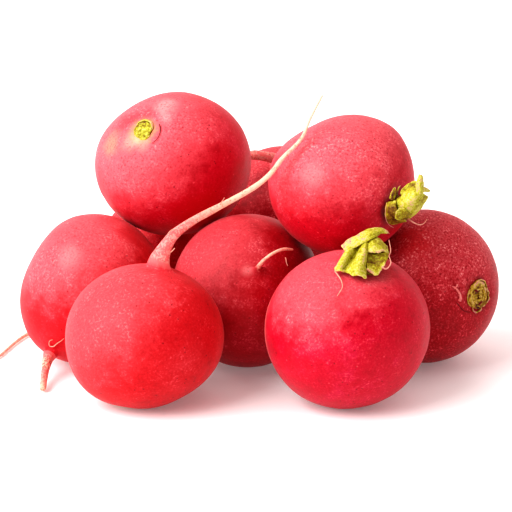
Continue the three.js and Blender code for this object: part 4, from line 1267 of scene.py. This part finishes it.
# %% [markdown]
# ## The leaves' green
# The number laid on each sheet runs along one scale of colours: pink where it is dry, cream,
# yellow-green, olive, and brown in the hollows. Noise at three sizes shifts the place on
# that scale, so one sheet holds pale strands, olive flecks and brown pits. The crown on the
# right has dried, and has a browner scale. The threads and scraps are one dry colour each,
# and the creases are one dark red of painted shade.

# %% Making the green and the threads' pinks
RIPENESS = (  # the place on the scale and the colour there
    (0.0, colour(184, 104, 96)), (0.1, colour(208, 158, 130)), (0.22, colour(208, 188, 132)),
    (0.32, colour(194, 192, 80)), (0.46, colour(176, 174, 40)), (0.6, colour(148, 134, 22)),
    (0.82, colour(124, 88, 28)), (1.0, colour(78, 38, 16)),
)
DRIED = (  # the same for a crown that has dried brown
    (0.0, colour(188, 112, 108)), (0.12, colour(204, 152, 126)), (0.26, colour(206, 176, 116)),
    (0.4, colour(194, 168, 60)), (0.54, colour(164, 136, 36)), (0.68, colour(138, 92, 28)),
    (0.84, colour(92, 38, 18)), (1.0, colour(52, 8, 10)),
)
THREAD_PINK = colour(214, 150, 132)
SCRAP_PINK = colour(216, 116, 114)
# painted shade: the dark red inside a crack and between leaf bases
PAINTED_GROOVE_SHADE = colour(112, 14, 20)


def green(name, stops):
    """Leaf flesh whose colours follow the ripeness laid on the sheet."""
    paint = Finish(name)
    seat = paint.node("TexCoord", out=3)
    chart = paint.node("TexCoord", out=2)
    ripe = paint.number("ripeness")
    strands = paint.cloud(paint.stretched(chart, 14, 2.0, 1), 1.0, 3, 0.6)
    patchy = paint.cloud(seat, 1.3 * MM, 4, 0.65)
    grain = paint.cloud(seat, 0.5 * MM, 3, 0.65)
    shift = (strands - 0.5) * 1.4 + (patchy - 0.5) * 2.2 + (grain - 0.5) * 3.0
    scale = (ripe + shift + 1.0) / 3.0
    tone = paint.node("ValToRGB", {"stops": stops}, {0: scale})
    height = strands * 0.6 + patchy * 0.4 + grain * 0.3
    bumps = paint.node("Bump", None, {"Strength": 0.7, "Distance": 0.3 * MM, "Height": height})
    return paint.surface(
        Base_Color=tone, Roughness=patchy * 0.2 + 0.45, Normal=bumps, IOR=1.42,
        Specular_IOR_Level=0.4,
        Subsurface_Weight=0.1, Subsurface_Radius=(1.0, 0.8, 0.2), Subsurface_Scale=0.5 * MM,
    )


def plain(name, tone):
    """One dry colour, a little uneven."""
    paint = Finish(name)
    seat = paint.node("TexCoord", out=3)
    uneven = paint.cloud(seat, 0.8 * MM, 2, 0.6)
    tone = paint.mix(tone, colour(250, 220, 200), paint.step(uneven, 0.4, 0.8) * 0.3)
    return paint.surface(Base_Color=tone, Roughness=0.6, Specular_IOR_Level=0.3)


dress(stubs.values(), green("leaf_green", RIPENESS))
dress([stubs["right"]], green("leaf_dried", DRIED))
dress(hairs.values(), plain("thread_pink", THREAD_PINK))
dress([hairs["right"]], plain("scrap_pink", SCRAP_PINK))
# The creases' threads carry painted shade.
groove_shade = Finish("groove_shade")
dress(creases.values(), groove_shade.surface(Base_Color=PAINTED_GROOVE_SHADE, Roughness=0.9))
print("finishes:", len(bpy.data.materials))

# %% [markdown]
# ## Handing the pieces to the frame
# Every piece rides on the one body of the heap. A bulb stands for its radish's solid and
# the stalks for the leaf stubs, whose solids are hidden.

# %% Riding and replacing
for name in RADISHES:
    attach(bulbs[name], "root")
    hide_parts(f"radish_{name}")
    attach(stubs[name], "root")
    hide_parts(f"leaf_stubs_{name}")
for piece in (*hairs.values(), *creases.values()):
    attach(piece, "root")
print("pieces:", len(bulbs) + len(stubs) + len(hairs) + len(creases))

# %% [markdown]
# ## The table
# The heap lies on a white table, which glows very faintly, as a light table does, and so
# keeps the shadows soft.

# %% The table
TABLE_SIZE = 6
TABLE_WHITE = (0.86, 0.92, 0.92, 1)
TABLE_GLOW = (0.135, 0.135, 0.135, 1.0)

bpy.ops.object.select_all(action="DESELECT")
bpy.ops.mesh.primitive_plane_add(size=TABLE_SIZE, location=(0, 0, 0))
table = bpy.context.object
table.name = "table"
table.data.materials.append(Finish("white_table").surface(
    Base_Color=TABLE_WHITE, Roughness=0.9, Specular_IOR_Level=0.1,
    Emission_Color=TABLE_GLOW, Emission_Strength=1.0,
))
print("table:", TABLE_SIZE, "m wide")

# %% [markdown]
# ## The light
# One large soft lamp lights the heap from the upper left. The room round it is a web of
# nodes too, so it is made with the same class: bright behind and above the heap, which gives
# the skins their pale rims, and dim behind the camera.

# %% The light
BACKDROP = (1.0, 0.82, 0.8, 1.0)
ROOM = (0.24, 0.18, 0.18, 1.0)
BRIGHT_WAY = (-0.15, 0.75, 0.65)
HEAP_HEART = Vector((0, 0, 0.035))

world = bpy.data.worlds.new("pale_room")
room = Finish("pale_room", world)
way = room.node("TexCoord", out=0)
facing = room.vector("DOT_PRODUCT", way, tuple(Vector(BRIGHT_WAY).normalized()), out=1)
tone = room.mix(ROOM, BACKDROP, room.step(facing, -0.6, 0.8))
glow = room.node("Background", None, {"Color": tone, "Strength": 1.0})
room.node("OutputWorld", None, {"Surface": glow})
bpy.context.scene.world = world


def lamp(name, way, distance, size, power):
    """A square lamp that faces the heap."""
    way = Vector(way).normalized()
    light = bpy.data.lights.new(name, "AREA")
    light.shape = "SQUARE"
    light.size = size
    light.energy = power
    piece = bpy.data.objects.new(name, light)
    bpy.context.collection.objects.link(piece)
    piece.location = HEAP_HEART + way * distance
    piece.rotation_euler = way.to_track_quat("Z", "Y").to_euler()
    return piece


lamp("window_lamp", way=(-0.68, -0.43, 0.6), distance=2.5, size=2.0, power=64.0)
print("lamps:", len(bpy.data.lights))

# %% [markdown]
# ## The camera
# It stands far off with a long lens and looks slightly down, so that near and far radishes
# keep their sizes. Its place and its lens are given in the heap's millimetres.

# %% The camera
CAMERA_TILT = math.radians(16.78)
CAMERA_AWAY = 600.0
CAMERA_AIM = (0, 0, 38.35)
SENSOR = 36.0
FOCAL_PIXELS = 2475.2
PICTURE_PIXELS = 512

camera = bpy.data.cameras.new("camera")
camera.sensor_width = SENSOR
camera.sensor_fit = "HORIZONTAL"
camera.lens = FOCAL_PIXELS / PICTURE_PIXELS * SENSOR
viewer = bpy.data.objects.new("camera", camera)
bpy.context.collection.objects.link(viewer)
back = Vector((0, -math.cos(CAMERA_TILT), math.sin(CAMERA_TILT)))
viewer.location = to_frame(Vector(CAMERA_AIM) + back * CAMERA_AWAY)
viewer.rotation_euler = (math.pi / 2 - CAMERA_TILT, 0, 0)
bpy.context.scene.camera = viewer
bpy.context.scene.view_settings.view_transform = "Standard"
bpy.context.scene.view_settings.look = "High Contrast"
print(f"lens: {camera.lens:.0f} mm")
